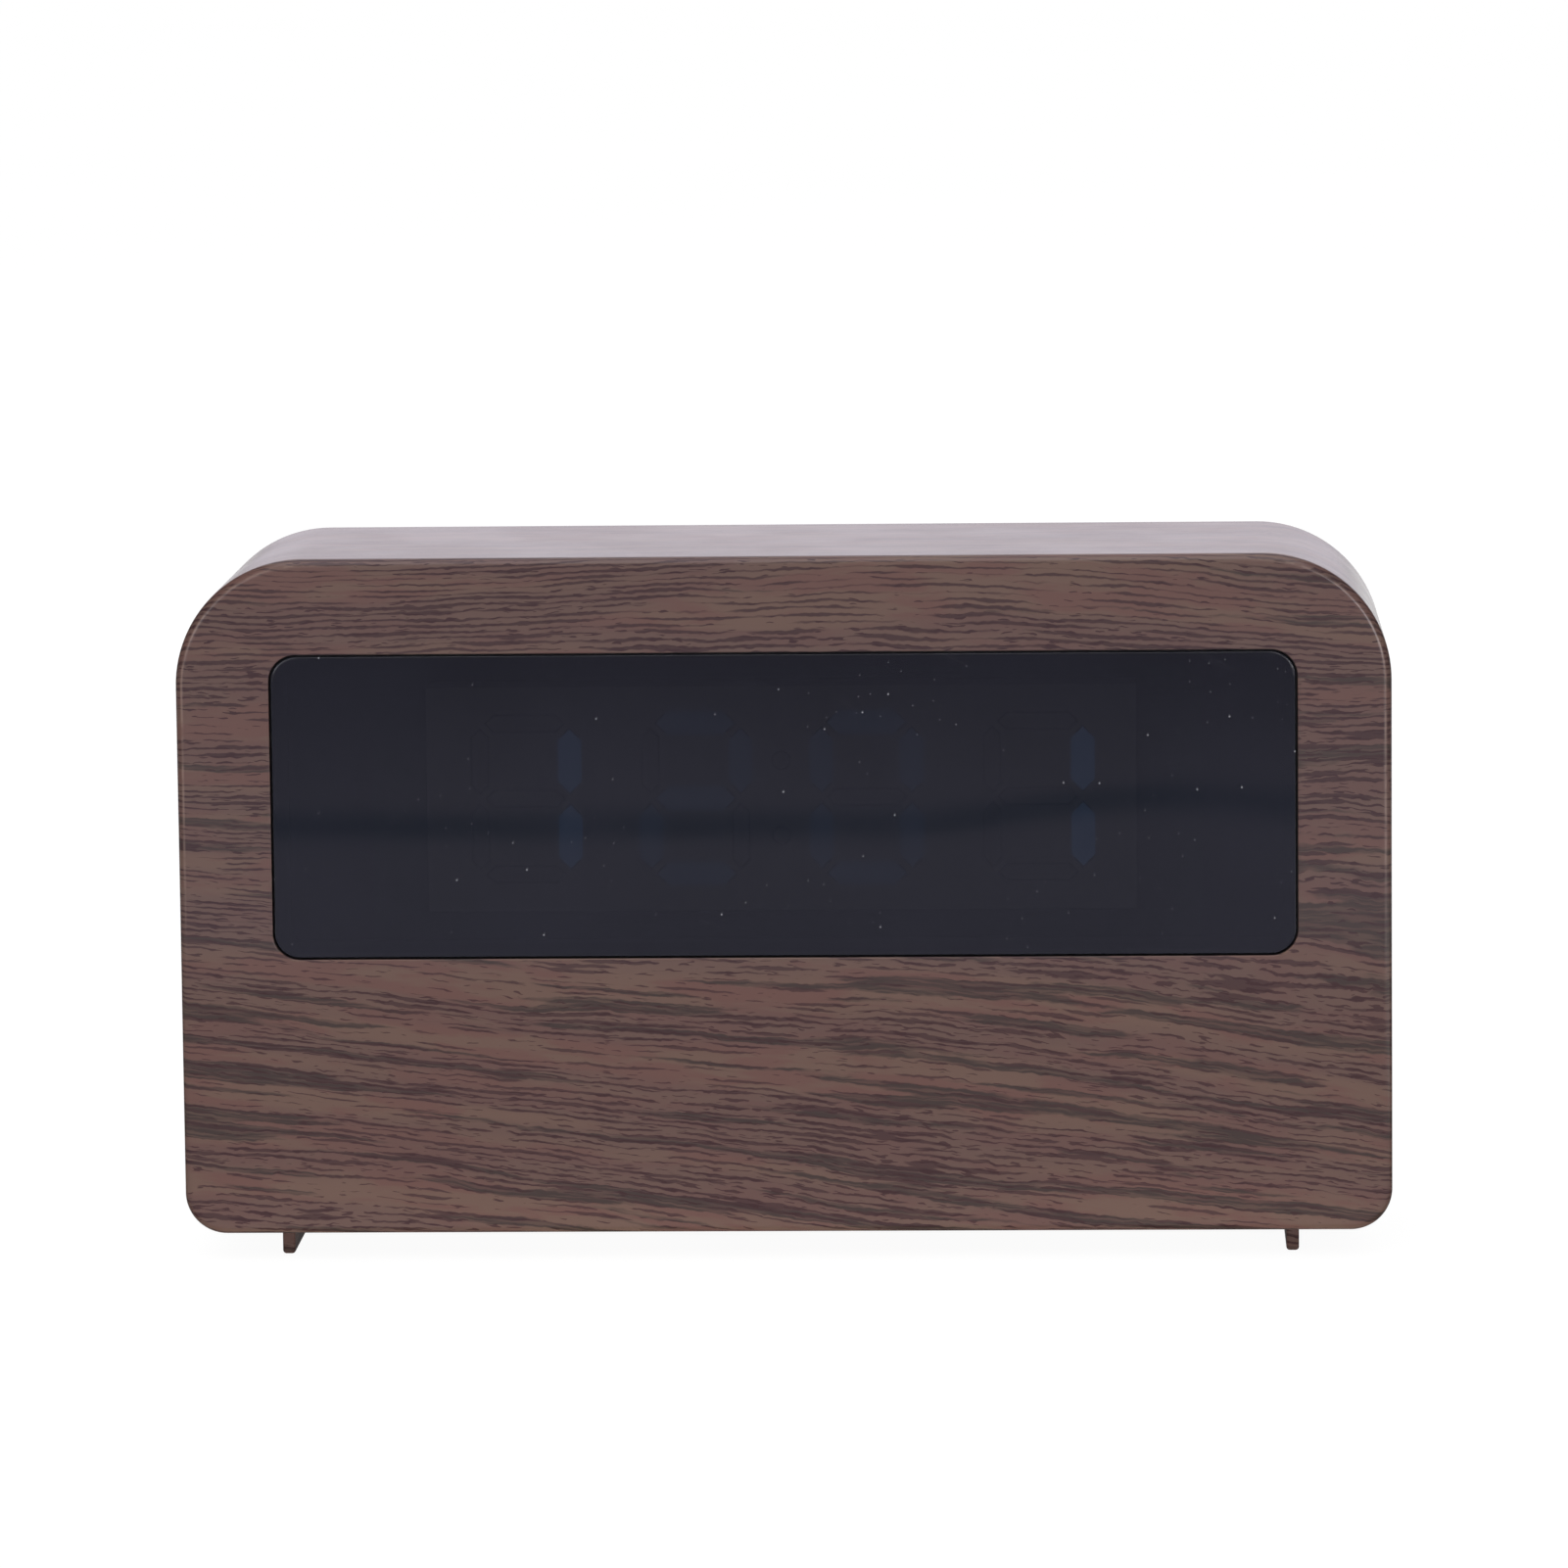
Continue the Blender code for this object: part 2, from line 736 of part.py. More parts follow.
def display_block(name, inset, y_low, y_high):
    """A block in the display module's outline, drawn in by an inset."""
    half = DIGIT_COUNT * DIGIT_PITCH / 2 + HOUSING_SIDE_MARGIN - inset
    rise = (DIGIT_HEIGHT + SEGMENT_WIDTH) / 2 + HOUSING_END_MARGIN - inset
    low = (DISPLAY_SHIFT - half, y_low, display_middle - rise)
    return block(name, low, (DISPLAY_SHIFT + half, y_high, display_middle + rise))


def make_display_housing():
    housing = display_block("display_housing", 0.0, housing_front, housing_back)
    pocket_floor = housing_back - POCKET_DEPTH
    cut_from(
        housing,
        display_block("housing_pocket", HOUSING_WALL, pocket_floor, housing_back + OVERRUN),
        prism(
            "housing_wells",
            segment_outlines(0.0),
            housing_front - OVERRUN,
            housing_back + OVERRUN / 2,
        ),
    )
    part(housing, material("display_grey", (0.075, 0.08, 0.085), 0.55))


def make_segment_fill():
    floor = housing_back - POCKET_DEPTH + GAP
    fill = display_block("segment_fill", HOUSING_WALL + GAP, floor, housing_back - GAP)
    pillars = prism(
        "fill_pillars",
        segment_outlines(GAP),
        housing_front + GAP,
        (floor + housing_back) / 2,
    )
    join_on(fill, pillars)
    part(fill, see_through(material("milky_resin", (0.55, 0.6, 0.66), 0.35), 0.2))


# Circuit boards


def make_display_board():
    rise = WINDOW_HEIGHT / 2 + DISPLAY_BOSS_OFFSET + BOARD_EDGE
    board = rounded_block(
        "display_board",
        (-DISPLAY_BOARD_WIDTH / 2, display_board_front, window_middle - rise),
        (DISPLAY_BOARD_WIDTH / 2, display_board_back, window_middle + rise),
        BOARD_SCREW_HEAD_RADIUS,
        FILLET_SEGMENTS,
    )
    cut_from(board, board_holes("display_board_holes", display_board_front, display_screw_places))
    part(board, material("green_board", (0.02, 0.12, 0.06), 0.4))


def board_holes(name, front, places):
    return rods(
        name,
        BOARD_SCREW_RADIUS + GAP,
        front - OVERRUN,
        front + BOARD_THICKNESS + OVERRUN,
        places,
    )


def make_main_board():
    half = MAIN_BOARD_WIDTH / 2
    board = rounded_block(
        "main_board",
        (-half, board_front, board_bottom),
        (half, board_back, board_top),
        BOARD_SCREW_HEAD_RADIUS,
        FILLET_SEGMENTS,
    )
    cut_from(board, board_holes("main_board_holes", board_front, board_screw_places))
    part(board, material("green_main_board", (0.02, 0.13, 0.06), 0.4))


def make_chip():
    base = board_front - GAP
    height = (board_bottom + board_top) / 2
    low = (CHIP_PLACE - CHIP_LENGTH / 2, base - CHIP_HEIGHT, height - CHIP_WIDTH / 2)
    high = (CHIP_PLACE + CHIP_LENGTH / 2, base, height + CHIP_WIDTH / 2)
    chip = block("microcontroller", low, high)
    corners = []
    for lead in range(CHIP_LEADS):
        x = CHIP_PLACE + (lead - (CHIP_LEADS - 1) / 2) * LEAD_PITCH
        reach = CHIP_WIDTH / 2 + LEAD_REACH
        foot = base - LEAD_THICKNESS
        for side in (-1, 1):
            inner = height + side * CHIP_WIDTH / 4
            bottom, top = sorted((inner, height + side * reach))
            start = (x - LEAD_WIDTH / 2, foot - LEAD_THICKNESS, bottom)
            corners.append((start, (x + LEAD_WIDTH / 2, foot, top)))
    join_on(chip, blocks("chip_leads", corners))
    part(chip, material("chip_black", (0.02, 0.02, 0.022), 0.5))


def make_crystal():
    base = board_front - GAP
    height = (board_bottom + board_top) / 2
    low = (CRYSTAL_PLACE - CRYSTAL_LENGTH / 2, base - CRYSTAL_HEIGHT, height - CRYSTAL_WIDTH / 2)
    high = (CRYSTAL_PLACE + CRYSTAL_LENGTH / 2, base, height + CRYSTAL_WIDTH / 2)
    can = rounded_block("crystal", low, high, CRYSTAL_WIDTH / 2 - WELD)
    part(can, material("crystal_can", (0.7, 0.7, 0.7), 0.3, 1.0))


def make_buzzer():
    base = board_back + GAP
    top = base + BUZZER_HEIGHT
    place = [(buzzer_place, small_parts_height)]
    buzzer = rods("buzzer", BUZZER_RADIUS, base, top, place, ROUND_SIDES)
    hole = rods("buzzer_hole", BUZZER_HOLE_RADIUS, top - BUZZER_HOLE_DEPTH, top + OVERRUN, place)
    cut_from(buzzer, hole)
    part(buzzer, material("buzzer_black", (0.025, 0.025, 0.027), 0.45))


def make_capacitor():
    profile = [
        (0.0, CAPACITOR_HEIGHT),
        (CAPACITOR_RADIUS - CAPACITOR_EDGE, CAPACITOR_HEIGHT),
        (CAPACITOR_RADIUS, CAPACITOR_HEIGHT - CAPACITOR_EDGE),
        (CAPACITOR_RADIUS, 0.0),
        (0.0, 0.0),
    ]
    can = turned("capacitor", profile)
    can.rotation_euler = (-math.pi / 2, 0.0, 0.0)
    can.location = (CAPACITOR_PLACE, board_back + GAP, small_parts_height)
    part(can, material("capacitor_sleeve", (0.03, 0.05, 0.16), 0.35))


def make_usb_socket():
    base = board_back + GAP
    mouth = cover_outer - USB_RECESS
    cavity_end = mouth - USB_CAVITY_DEPTH
    radius = USB_HEIGHT / 2 - WELD
    socket = usb_block("usb_socket", 0.0, base, mouth, radius)
    cavity = usb_block("usb_cavity", USB_SHELL, cavity_end, mouth + OVERRUN, radius - USB_SHELL)
    cut_from(socket, cavity)
    half, rise = USB_TONGUE_WIDTH / 2, USB_TONGUE_THICKNESS / 2
    low = (usb_place - half, cavity_end - OVERRUN, small_parts_height - rise)
    high = (usb_place + half, mouth - USB_TONGUE_SUNK, small_parts_height + rise)
    join_on(socket, block("usb_tongue", low, high))
    part(socket, material("socket_steel", (0.6, 0.6, 0.62), 0.3, 1.0))


def usb_block(name, inset, y_low, y_high, radius):
    half, rise = USB_WIDTH / 2 - inset, USB_HEIGHT / 2 - inset
    low = (usb_place - half, y_low, small_parts_height - rise)
    return rounded_block(name, low, (usb_place + half, y_high, small_parts_height + rise), radius)


# Screws


def pan_screw(name, head_radius, head_height, radius, length):
    """A screw along z with its head up and the underside of the head at zero."""
    crown = head_height * HEAD_CROWN_share
    profile = [
        (0.0, head_height),
        (head_radius - crown, head_height),
        (head_radius, head_height - crown),
        (head_radius, 0.0),
        (radius, 0.0),
        (radius, -length + radius),
        (0.0, -length),
    ]
    screw = turned(name, profile)
    arm, half = head_radius * RECESS_ARM_share, head_radius * RECESS_WIDTH_share / 2
    depth = head_height * RECESS_DEPTH_share
    bm = bmesh.new()
    add_block(bm, (-arm, -half, head_height - depth), (arm, half, head_height + OVERRUN))
    first = from_bmesh(name + "_slot_a", bm)
    second = bpy.data.objects.new(name + "_slot_b", first.data)
    second.location = first.location
    second.rotation_euler = (0.0, 0.0, math.pi / 2)
    cut_from(screw, first, second)
    plain = frozen(screw)
    for tool in (first, second):
        bpy.data.objects.remove(tool)
    return plain


def turn_head(screw, side):
    """Points a screw's head at the back (1) or at the front (-1)."""
    screw.rotation_euler = (-side * math.pi / 2, 0.0, 0.0)
    return screw


def make_screws():
    steel = material("cover_screw_steel", (0.09, 0.09, 0.095), 0.35, 1.0)
    zinc = material("board_screw_zinc", (0.62, 0.62, 0.6), 0.3, 1.0)
    cover_screw = pan_screw(
        "cover_screw",
        COVER_SCREW_HEAD_RADIUS,
        COVER_SCREW_HEAD_HEIGHT,
        COVER_SCREW_RADIUS,
        COVER_SCREW_LENGTH,
    )
    seat = cover_outer - COVER_SCREW_DEPTH - COVER_SCREW_HEAD_HEIGHT
    places = [(x, seat, z) for x, z in cover_screw_places]
    copies(turn_head(cover_screw, 1), numbered("cover_screw", len(places)), places, steel)
    board_screw = pan_screw(
        "board_screw",
        BOARD_SCREW_HEAD_RADIUS,
        BOARD_SCREW_HEAD_HEIGHT,
        BOARD_SCREW_RADIUS,
        BOARD_SCREW_LENGTH,
    )
    places = [(x, display_board_back + GAP, z) for x, z in display_screw_places]
    copies(turn_head(board_screw, 1), numbered("display_screw", len(places)), places, zinc)
    places = [(x, board_front - GAP, z) for x, z in board_screw_places]
    copies(turn_head(board_screw, -1), numbered("board_screw", len(places)), places, zinc)


# Switches and buttons


def make_switches():
    base = board_back + GAP
    top = base + SWITCH_HEIGHT
    black = material("switch_black", (0.03, 0.03, 0.032), 0.45)
    plunger_black = material("plunger_black", (0.05, 0.05, 0.05), 0.4)
    half = SWITCH_SIZE / 2
    for index, name in enumerate(BUTTON_NAMES):
        x = button_place(index)
        low = (x - half, base, button_height - half)
        body = block("switch_" + name, low, (x + half, top, button_height + half))
        place = [(x, button_height)]
        hole_floor = top - PLUNGER_SUNK - BUTTON_TRAVEL - GAP
        hole_radius = PLUNGER_RADIUS + GAP
        hole = rods(f"switch_{name}_hole", hole_radius, hole_floor, top + OVERRUN, place)
        cut_from(body, hole)
        part(body, black)
        sunk = top - PLUNGER_SUNK
        plunger = rods("plunger_" + name, PLUNGER_RADIUS, sunk, top + PLUNGER_RISE, place)
        part(plunger, plunger_black)


def make_buttons():
    rubber = material("button_grey", (0.035, 0.035, 0.037), 0.55)
    flange_top = cover_inner - GAP
    flange_bottom = flange_top - FLANGE_THICKNESS
    top = cover_outer + BUTTON_RISE
    flange = BUTTON_RADIUS + FLANGE_EXTRA
    foot = flange_bottom - STEM_LENGTH
    profile = [
        (0.0, top - foot),
        (BUTTON_RADIUS - BUTTON_EDGE, top - foot),
        (BUTTON_RADIUS, top - foot - BUTTON_EDGE),
        (BUTTON_RADIUS, flange_top - foot),
        (flange, flange_top - foot),
        (flange, flange_bottom - foot),
        (STEM_RADIUS, flange_bottom - foot),
        (STEM_RADIUS, 0.0),
        (0.0, 0.0),
    ]
    button = frozen(turned("button", profile, ROUND_SIDES))
    button.rotation_euler = (-math.pi / 2, 0.0, 0.0)
    names = ["button_" + name for name in BUTTON_NAMES]
    places = [(button_place(i), foot, button_height) for i in range(len(BUTTON_NAMES))]
    copies(button, names, places, rubber)


# Rear cover and battery door


def bay_block(name, outset, y_low, y_high):
    """A block in the battery bay's outline, grown by an outset."""
    low = (-bay_half - outset, y_low, bay_bottom - outset)
    return block(name, low, (bay_half + outset, y_high, bay_top + outset))


def door_outline(name, inset, y_low, y_high):
    """The door's recess, drawn in by an inset. Its lower edge is the bay's."""
    half = bay_half + DOOR_LIP - inset
    low = (-half, y_low, bay_bottom + inset)
    high = (half, y_high, bay_top + DOOR_LIP - inset)
    return rounded_block(name, low, high, DOOR_RADIUS - inset, FILLET_SEGMENTS)


def hook_blocks(name, room, reach, depth_low, depth_high, rise):
    """Blocks for the door's two hooks, or for their slots with some room round them."""
    corners = []
    for x in (-HOOK_SPREAD, HOOK_SPREAD):
        half = HOOK_WIDTH / 2 + room
        low = (x - half, depth_low, bay_bottom - reach)
        corners.append((low, (x + half, depth_high, bay_bottom + rise)))
    return blocks(name, corners)


hook_outer = cover_outer - HOOK_COVER - GAP
hook_inner = hook_outer - HOOK_THICKNESS
hook_swing = math.hypot(cover_outer - hook_inner, hinge_height - bay_bottom + HOOK_REACH)


def bay_ribs():
    corners = []
    for index in range(1, CELL_COUNT):
        z = bay_bottom + index * cell_pitch
        low = (-bay_half / 2, tray_floor - TRAY_WALL / 2, z - RIB_WIDTH / 2)
        corners.append((low, (bay_half / 2, tray_floor + RIB_HEIGHT, z + RIB_WIDTH / 2)))
    return blocks("cover_bay_ribs", corners)


def contact_tab_slots():
    corners = []
    for side, index in ((-1, 0), (1, CELL_COUNT - 1)):
        x, z = side * contact_place, cell_height(index)
        half = CONTACT_THICKNESS / 2 + TAB_CLEARANCE
        rise = TAB_WIDTH / 2 + TAB_CLEARANCE
        low = (x - half, tray_back - OVERRUN, z - rise)
        corners.append((low, (x + half, tray_floor + OVERRUN / 2, z + rise)))
    return blocks("cover_tab_slots", corners)


contact_place = bay_half - GAP - CONTACT_THICKNESS / 2


def sound_slots():
    corners = []
    for index in range(SOUND_SLOT_COUNT):
        x = buzzer_place + (index - (SOUND_SLOT_COUNT - 1) / 2) * SOUND_SLOT_PITCH
        low = (
            x - SOUND_SLOT_WIDTH / 2,
            cover_inner - OVERRUN,
            small_parts_height - SOUND_SLOT_LENGTH / 2,
        )
        high = (
            x + SOUND_SLOT_WIDTH / 2,
            cover_outer + OVERRUN,
            small_parts_height + SOUND_SLOT_LENGTH / 2,
        )
        corners.append((low, high))
    return blocks("cover_sound_slots", corners)


def thumb_recess():
    foot = bay_top + DOOR_LIP - OVERRUN
    low = (-THUMB_WIDTH / 2, cover_outer - THUMB_DEPTH, foot)
    high = (THUMB_WIDTH / 2, cover_outer + OVERRUN, foot + OVERRUN + THUMB_HEIGHT)
    return rounded_block("cover_thumb_recess", low, high, DOOR_RADIUS, FILLET_SEGMENTS)


def button_places():
    return [(button_place(i), button_height) for i in range(len(BUTTON_NAMES))]


def make_rear_cover():
    cover = from_bmesh("rear_cover", case_outline(RIM_WALL + GAP, cover_inner, cover_outer))
    plate_middle = (cover_inner + cover_outer) / 2
    screw_seat = cover_outer - COVER_SCREW_DEPTH - COVER_SCREW_HEAD_HEIGHT - GAP
    head_hole = COVER_SCREW_HEAD_RADIUS + GAP
    beyond = cover_outer + OVERRUN
    join_on(
        cover,
        bay_block("cover_tray", TRAY_WALL, tray_back, plate_middle),
        rods(
            "cover_pads",
            COVER_PAD_RADIUS,
            cover_inner - COVER_PAD_HEIGHT,
            plate_middle,
            cover_screw_places,
        ),
        rods("cover_posts", POST_RADIUS, board_back + GAP, plate_middle, board_screw_places),
    )
    cut_from(
        cover,
        bay_block("cover_bay", 0.0, tray_floor, beyond),
        door_outline("cover_door_recess", 0.0, door_inner - GAP, beyond),
        hook_blocks(
            "cover_hook_slots",
            GAP,
            HOOK_REACH + GAP,
            cover_outer - hook_swing - HOOK_SWING_ROOM,
            cover_outer - HOOK_COVER,
            OVERRUN,
        ),
        thumb_recess(),
        rods("cover_head_holes", head_hole, screw_seat, beyond, cover_screw_places),
        rods(
            "cover_screw_holes",
            COVER_SCREW_RADIUS + GAP,
            cover_inner - COVER_PAD_HEIGHT - OVERRUN,
            beyond,
            cover_screw_places,
        ),
        rods(
            "cover_button_holes",
            BUTTON_RADIUS + GAP,
            cover_inner - OVERRUN,
            beyond,
            button_places(),
            ROUND_SIDES,
        ),
        rods(
            "cover_post_pilots",
            BOARD_SCREW_RADIUS + GAP,
            board_back,
            board_back + PILOT_DEPTH,
            board_screw_places,
        ),
        usb_block("cover_usb_hole", -GAP, cover_inner - OVERRUN, beyond, USB_HEIGHT / 2),
        sound_slots(),
        contact_tab_slots(),
    )
    join_on(cover, bay_ribs())
    part(cover, material("cover_black", (0.022, 0.022, 0.024), 0.5))


def tongue_slots():
    """Two slots that free a springy tongue at the door's upper edge."""
    top = bay_top + DOOR_LIP
    corners = []
    for side in (-1, 1):
        x = side * TONGUE_WIDTH / 2
        low = (x - TONGUE_SLOT / 2, door_inner - OVERRUN, top - TONGUE_LENGTH)
        corners.append((low, (x + TONGUE_SLOT / 2, cover_outer + OVERRUN, top + OVERRUN)))
    return blocks("door_tongue_slots", corners)


def grip_grooves():
    top = bay_top + DOOR_LIP
    corners = []
    for index in range(GRIP_COUNT):
        z = top - (index + 1) * GRIP_PITCH
        low = (-GRIP_LENGTH / 2, cover_outer - GRIP_DEPTH, z - GRIP_WIDTH / 2)
        corners.append((low, (GRIP_LENGTH / 2, cover_outer + OVERRUN, z + GRIP_WIDTH / 2)))
    return blocks("door_grip_grooves", corners)


def make_battery_door():
    door = door_outline("battery_door", GAP, door_inner, cover_outer)
    hooks = hook_blocks(
        "door_hooks",
        0.0,
        HOOK_REACH,
        hook_inner,
        hook_outer,
        HOOK_RETURN,
    )
    join_on(door, hooks)
    cut_from(door, tongue_slots(), grip_grooves())
    move_origin(door, (0.0, cover_outer, hinge_height))
    part(door, material("door_black", (0.024, 0.024, 0.026), 0.5))


# Battery cells, springs, contacts and wires


def cell_side(index):
    """Which side a cell's spring is on: -1 left, 1 right."""
    return -1 if index % 2 == 0 else 1


def make_cells():
    body = CELL_LENGTH - NUB_LENGTH
    profile = [
        (0.0, CELL_LENGTH),
        (NUB_RADIUS, CELL_LENGTH),
        (NUB_RADIUS, body),
        (CELL_RADIUS - CELL_EDGE, body),
        (CELL_RADIUS, body - CELL_EDGE),
        (CELL_RADIUS, CELL_EDGE),
        (CELL_RADIUS - CELL_EDGE, 0.0),
        (0.0, 0.0),
    ]
    cell = frozen(turned("cell", profile, ROUND_SIDES))
    sleeve = material("cell_sleeve", (0.06, 0.08, 0.11), 0.3, 0.6)
    base = bay_half - CONTACT_THICKNESS - 3 * GAP - SPRING_LENGTH
    for index, name in enumerate(numbered("battery_cell", CELL_COUNT)):
        side = cell_side(index)
        cell.rotation_euler = (0.0, -side * math.pi / 2, 0.0)
        copies(cell, [name], [(side * base, cell_depth, cell_height(index))], sleeve)


def spring_points(index):
    """A conical coil from the contact plate to the cell, along x."""
    side = cell_side(index)
    start = bay_half - CONTACT_THICKNESS - 2 * GAP
    steps = SPRING_TURNS * SPRING_POINTS
    points = []
    for step in range(steps + 1):
        share = step / steps
        radius = SPRING_WIDE_RADIUS + (SPRING_NARROW_RADIUS - SPRING_WIDE_RADIUS) * share
        angle = 2 * math.pi * step / SPRING_POINTS
        reach = SPRING_WIRE + (SPRING_LENGTH - 2 * SPRING_WIRE) * share
        y = cell_depth + radius * math.cos(angle)
        z = cell_height(index) + radius * math.sin(angle)
        points.append((side * (start - reach), y, z))
    return points


def make_springs():
    steel = material("spring_steel", (0.7, 0.7, 0.68), 0.25, 1.0)
    for index, name in enumerate(numbered("battery_spring", CELL_COUNT)):
        spring = tube(name + "_coil", spring_points(index), SPRING_WIRE, SPRING_SIDES_RESOLUTION)
        spring.name = name
        part(spring, steel)


def contact(name, side, first, last, tab):
    """A contact plate behind the cells from first to last, with a solder tab if it has a lead."""
    half = CONTACT_THICKNESS / 2
    base = tray_floor + GAP
    x = side * contact_place
    low = (x - half, base, cell_height(first) - CONTACT_WIDTH / 2)
    high = (x + half, base + CONTACT_HEIGHT, cell_height(last) + CONTACT_WIDTH / 2)
    plate = block(name, low, high)
    if tab:
        middle = cell_height(first)
        outer = (x + half, base + TAB_REACH, middle + TAB_WIDTH / 2)
        start = (x - half, tray_back - TAB_REACH, middle - TAB_WIDTH / 2)
        join_on(plate, block(name + "_tab", start, outer))
    part(plate, nickel)


def make_contacts():
    last = CELL_COUNT - 1
    contact("contact_negative", -1, 0, 0, True)
    contact("contact_link_right", 1, 0, 1, False)
    contact("contact_link_left", -1, 1, last, False)
    contact("contact_positive", 1, last, last, True)


def make_wire(name, side, index, colour):
    """A lead from a contact's tab, round below the tray and up to the main board."""
    x, z = side * contact_place, cell_height(index)
    start = tray_back - TAB_REACH - GAP
    run = start - WIRE_BEND
    landing = board_bottom + WIRE_LANDING_RISE
    end_x = side * WIRE_LANDING_PLACE
    route = [
        (x, start, z),
        (x, start - WIRE_BEND / 2, z + WIRE_RADIUS),
        (x, run, z + WIRE_BEND),
        ((x + end_x) / 2, run, (z + landing) / 2),
        (end_x, run, landing - WIRE_BEND),
        (end_x, run + WIRE_BEND, landing),
        (end_x, board_front - GAP, landing),
    ]
    wire = tube(
        name + "_core", smooth_route(route, ROUTE_POINTS), WIRE_RADIUS, WIRE_SIDES_RESOLUTION
    )
    wire.name = name
    part(wire, material(name, colour, 0.4))


# Ribbon cable and its sockets


def socket_block(name, y_low, y_high):
    half, rise = SOCKET_WIDTH / 2, SOCKET_HEIGHT / 2
    low = (-half, y_low, socket_height - rise)
    socket = block(name, low, (half, y_high, socket_height + rise))
    part(socket, material(name + "_white", (0.75, 0.74, 0.7), 0.45))


def make_ribbon():
    front_end = display_board_back + GAP + socket_depth
    rear_end = board_front - GAP - socket_depth
    socket_block("socket_front", display_board_back + GAP, front_end)
    socket_block("socket_rear", rear_end, board_front - GAP)
    start, end = front_end + GAP, rear_end - GAP
    sag = (end - start) / 4
    half = RIBBON_THICKNESS / 2
    outline = []
    for side in (1, -1):
        row = []
        for step in range(RIBBON_POINTS + 1):
            share = step / RIBBON_POINTS
            drop = sag * math.sin(math.pi * share) ** 2
            row.append((start + (end - start) * share, socket_height - drop + side * half))
        outline += row if side == 1 else row[::-1]
    cable = side_prism("ribbon_cable_strip", outline, -RIBBON_WIDTH / 2, RIBBON_WIDTH / 2)
    cable.name = "ribbon_cable"
    part(cable, material("ribbon_grey", (0.4, 0.4, 0.42), 0.5))


def side_prism(name, outline, x_low, x_high):
    """A flat outline in y and z, given a thickness along x."""
    drawn = prism(name, [outline], x_low, x_high)
    drawn.rotation_euler = (math.pi / 2, 0.0, math.pi / 2)
    drawn.location = ((x_low + x_high) / 2, 0.0, 0.0)
    return drawn


clear_scene()
parts = new_collection("wooden_digital_clock")
cutters = new_collection("cutters")
nickel = material("contact_nickel", (0.72, 0.7, 0.64), 0.28, 1.0)
make_front_case()
make_lens()
make_display_housing()
make_segment_fill()
make_display_board()
make_main_board()
make_chip()
make_crystal()
make_buzzer()
make_capacitor()
make_usb_socket()
make_screws()
make_switches()
make_buttons()
make_rear_cover()
make_battery_door()
make_cells()
make_springs()
make_contacts()
make_wire("wire_black", -1, 0, (0.02, 0.02, 0.02))
make_wire("wire_red", 1, CELL_COUNT - 1, (0.35, 0.02, 0.02))
make_ribbon()
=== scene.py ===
"""The dressed model of a digital clock in a wood-print case, built over its CAD frame.

Lengths are in metres in the frame's own axes: x to the right, y to the back and z up.
A span is a (low, high) pair along one axis, and a block is three spans, in x, y and z.
"""
import math

import bmesh
import bpy
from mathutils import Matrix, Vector


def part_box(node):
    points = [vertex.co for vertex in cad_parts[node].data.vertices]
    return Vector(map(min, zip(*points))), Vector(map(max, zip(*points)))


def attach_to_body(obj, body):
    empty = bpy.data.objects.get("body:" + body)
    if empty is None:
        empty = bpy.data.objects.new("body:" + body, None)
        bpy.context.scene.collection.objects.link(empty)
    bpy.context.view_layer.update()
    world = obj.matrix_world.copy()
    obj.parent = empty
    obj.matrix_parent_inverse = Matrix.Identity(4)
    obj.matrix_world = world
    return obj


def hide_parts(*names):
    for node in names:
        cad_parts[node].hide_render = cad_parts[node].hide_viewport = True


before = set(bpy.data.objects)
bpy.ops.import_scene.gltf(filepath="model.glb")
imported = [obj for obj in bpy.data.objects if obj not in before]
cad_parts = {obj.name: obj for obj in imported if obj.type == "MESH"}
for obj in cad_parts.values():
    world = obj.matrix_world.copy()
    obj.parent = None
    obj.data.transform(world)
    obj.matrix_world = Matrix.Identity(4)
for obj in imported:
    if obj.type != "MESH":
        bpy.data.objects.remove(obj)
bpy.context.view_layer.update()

MM = 0.001
# Clear gap where the real pieces touch
GAP = 0.3 * MM
# How far a cut runs past what it cuts
OVERRUN = 1.0 * MM
# Half the flat left between the two corners of a round end
HAIR = 0.01 * MM
# Radius at which a turned shape comes to a point
POINT = 0.001 * MM

# Steps and edges of the shapes
CORNER_STEPS = 28
FILLET_STEPS = 7
ROUND_STEPS = 5
EDGE_STEPS = 3
BEVEL_STEPS = 2
CROWN_STEPS = 8
SIDE_STEPS = 8
ROUND_SIDES = 48
POST_SIDES = 32
SHARP_ANGLE = math.radians(50)
BEVEL_ANGLE = math.radians(34)
MOULDED_EDGE = 0.14 * MM

# Case
CASE_WALL = 2.2 * MM
TOP_RADIUS = 19.0 * MM
BOTTOM_RADIUS = 6.2 * MM
LEAST_RADIUS = 0.5 * MM
FRONT_FILLET = 1.2 * MM
REAR_FILLET = 0.4 * MM
RIM_WALL = 1.3 * MM
# Where along y the rim's thin wall ends
SHOULDER_DEPTH = 20.699 * MM
WINDOW_EDGE = 0.22 * MM
# Flat strip kept beside a fillet
SUPPORT = 0.3 * MM
# The case's ring along which a pale highlight line is painted into the print, counted from the window
PAINTED_HIGHLIGHT_RING = 3

# Feet
FOOT_HEIGHT = 4.5 * MM
FOOT_THICKNESS = 1.9 * MM
FOOT_LENGTH = 33.0 * MM
FOOT_SETBACK = 8.0 * MM
FOOT_INSET = 13.7 * MM
FOOT_FILLET = 0.5 * MM

# Bosses and posts
CASE_BOSS_RADIUS = 3.2 * MM
CASE_PILOT_DEPTH = 14.0 * MM
POST_RADIUS = 2.6 * MM
PILOT_DEPTH = 7.0 * MM
WEB_THICKNESS = 1.4 * MM
WEB_START = 2.6 * MM
WEB_SHORTER = 1.0 * MM
WEB_EDGE = 0.15 * MM

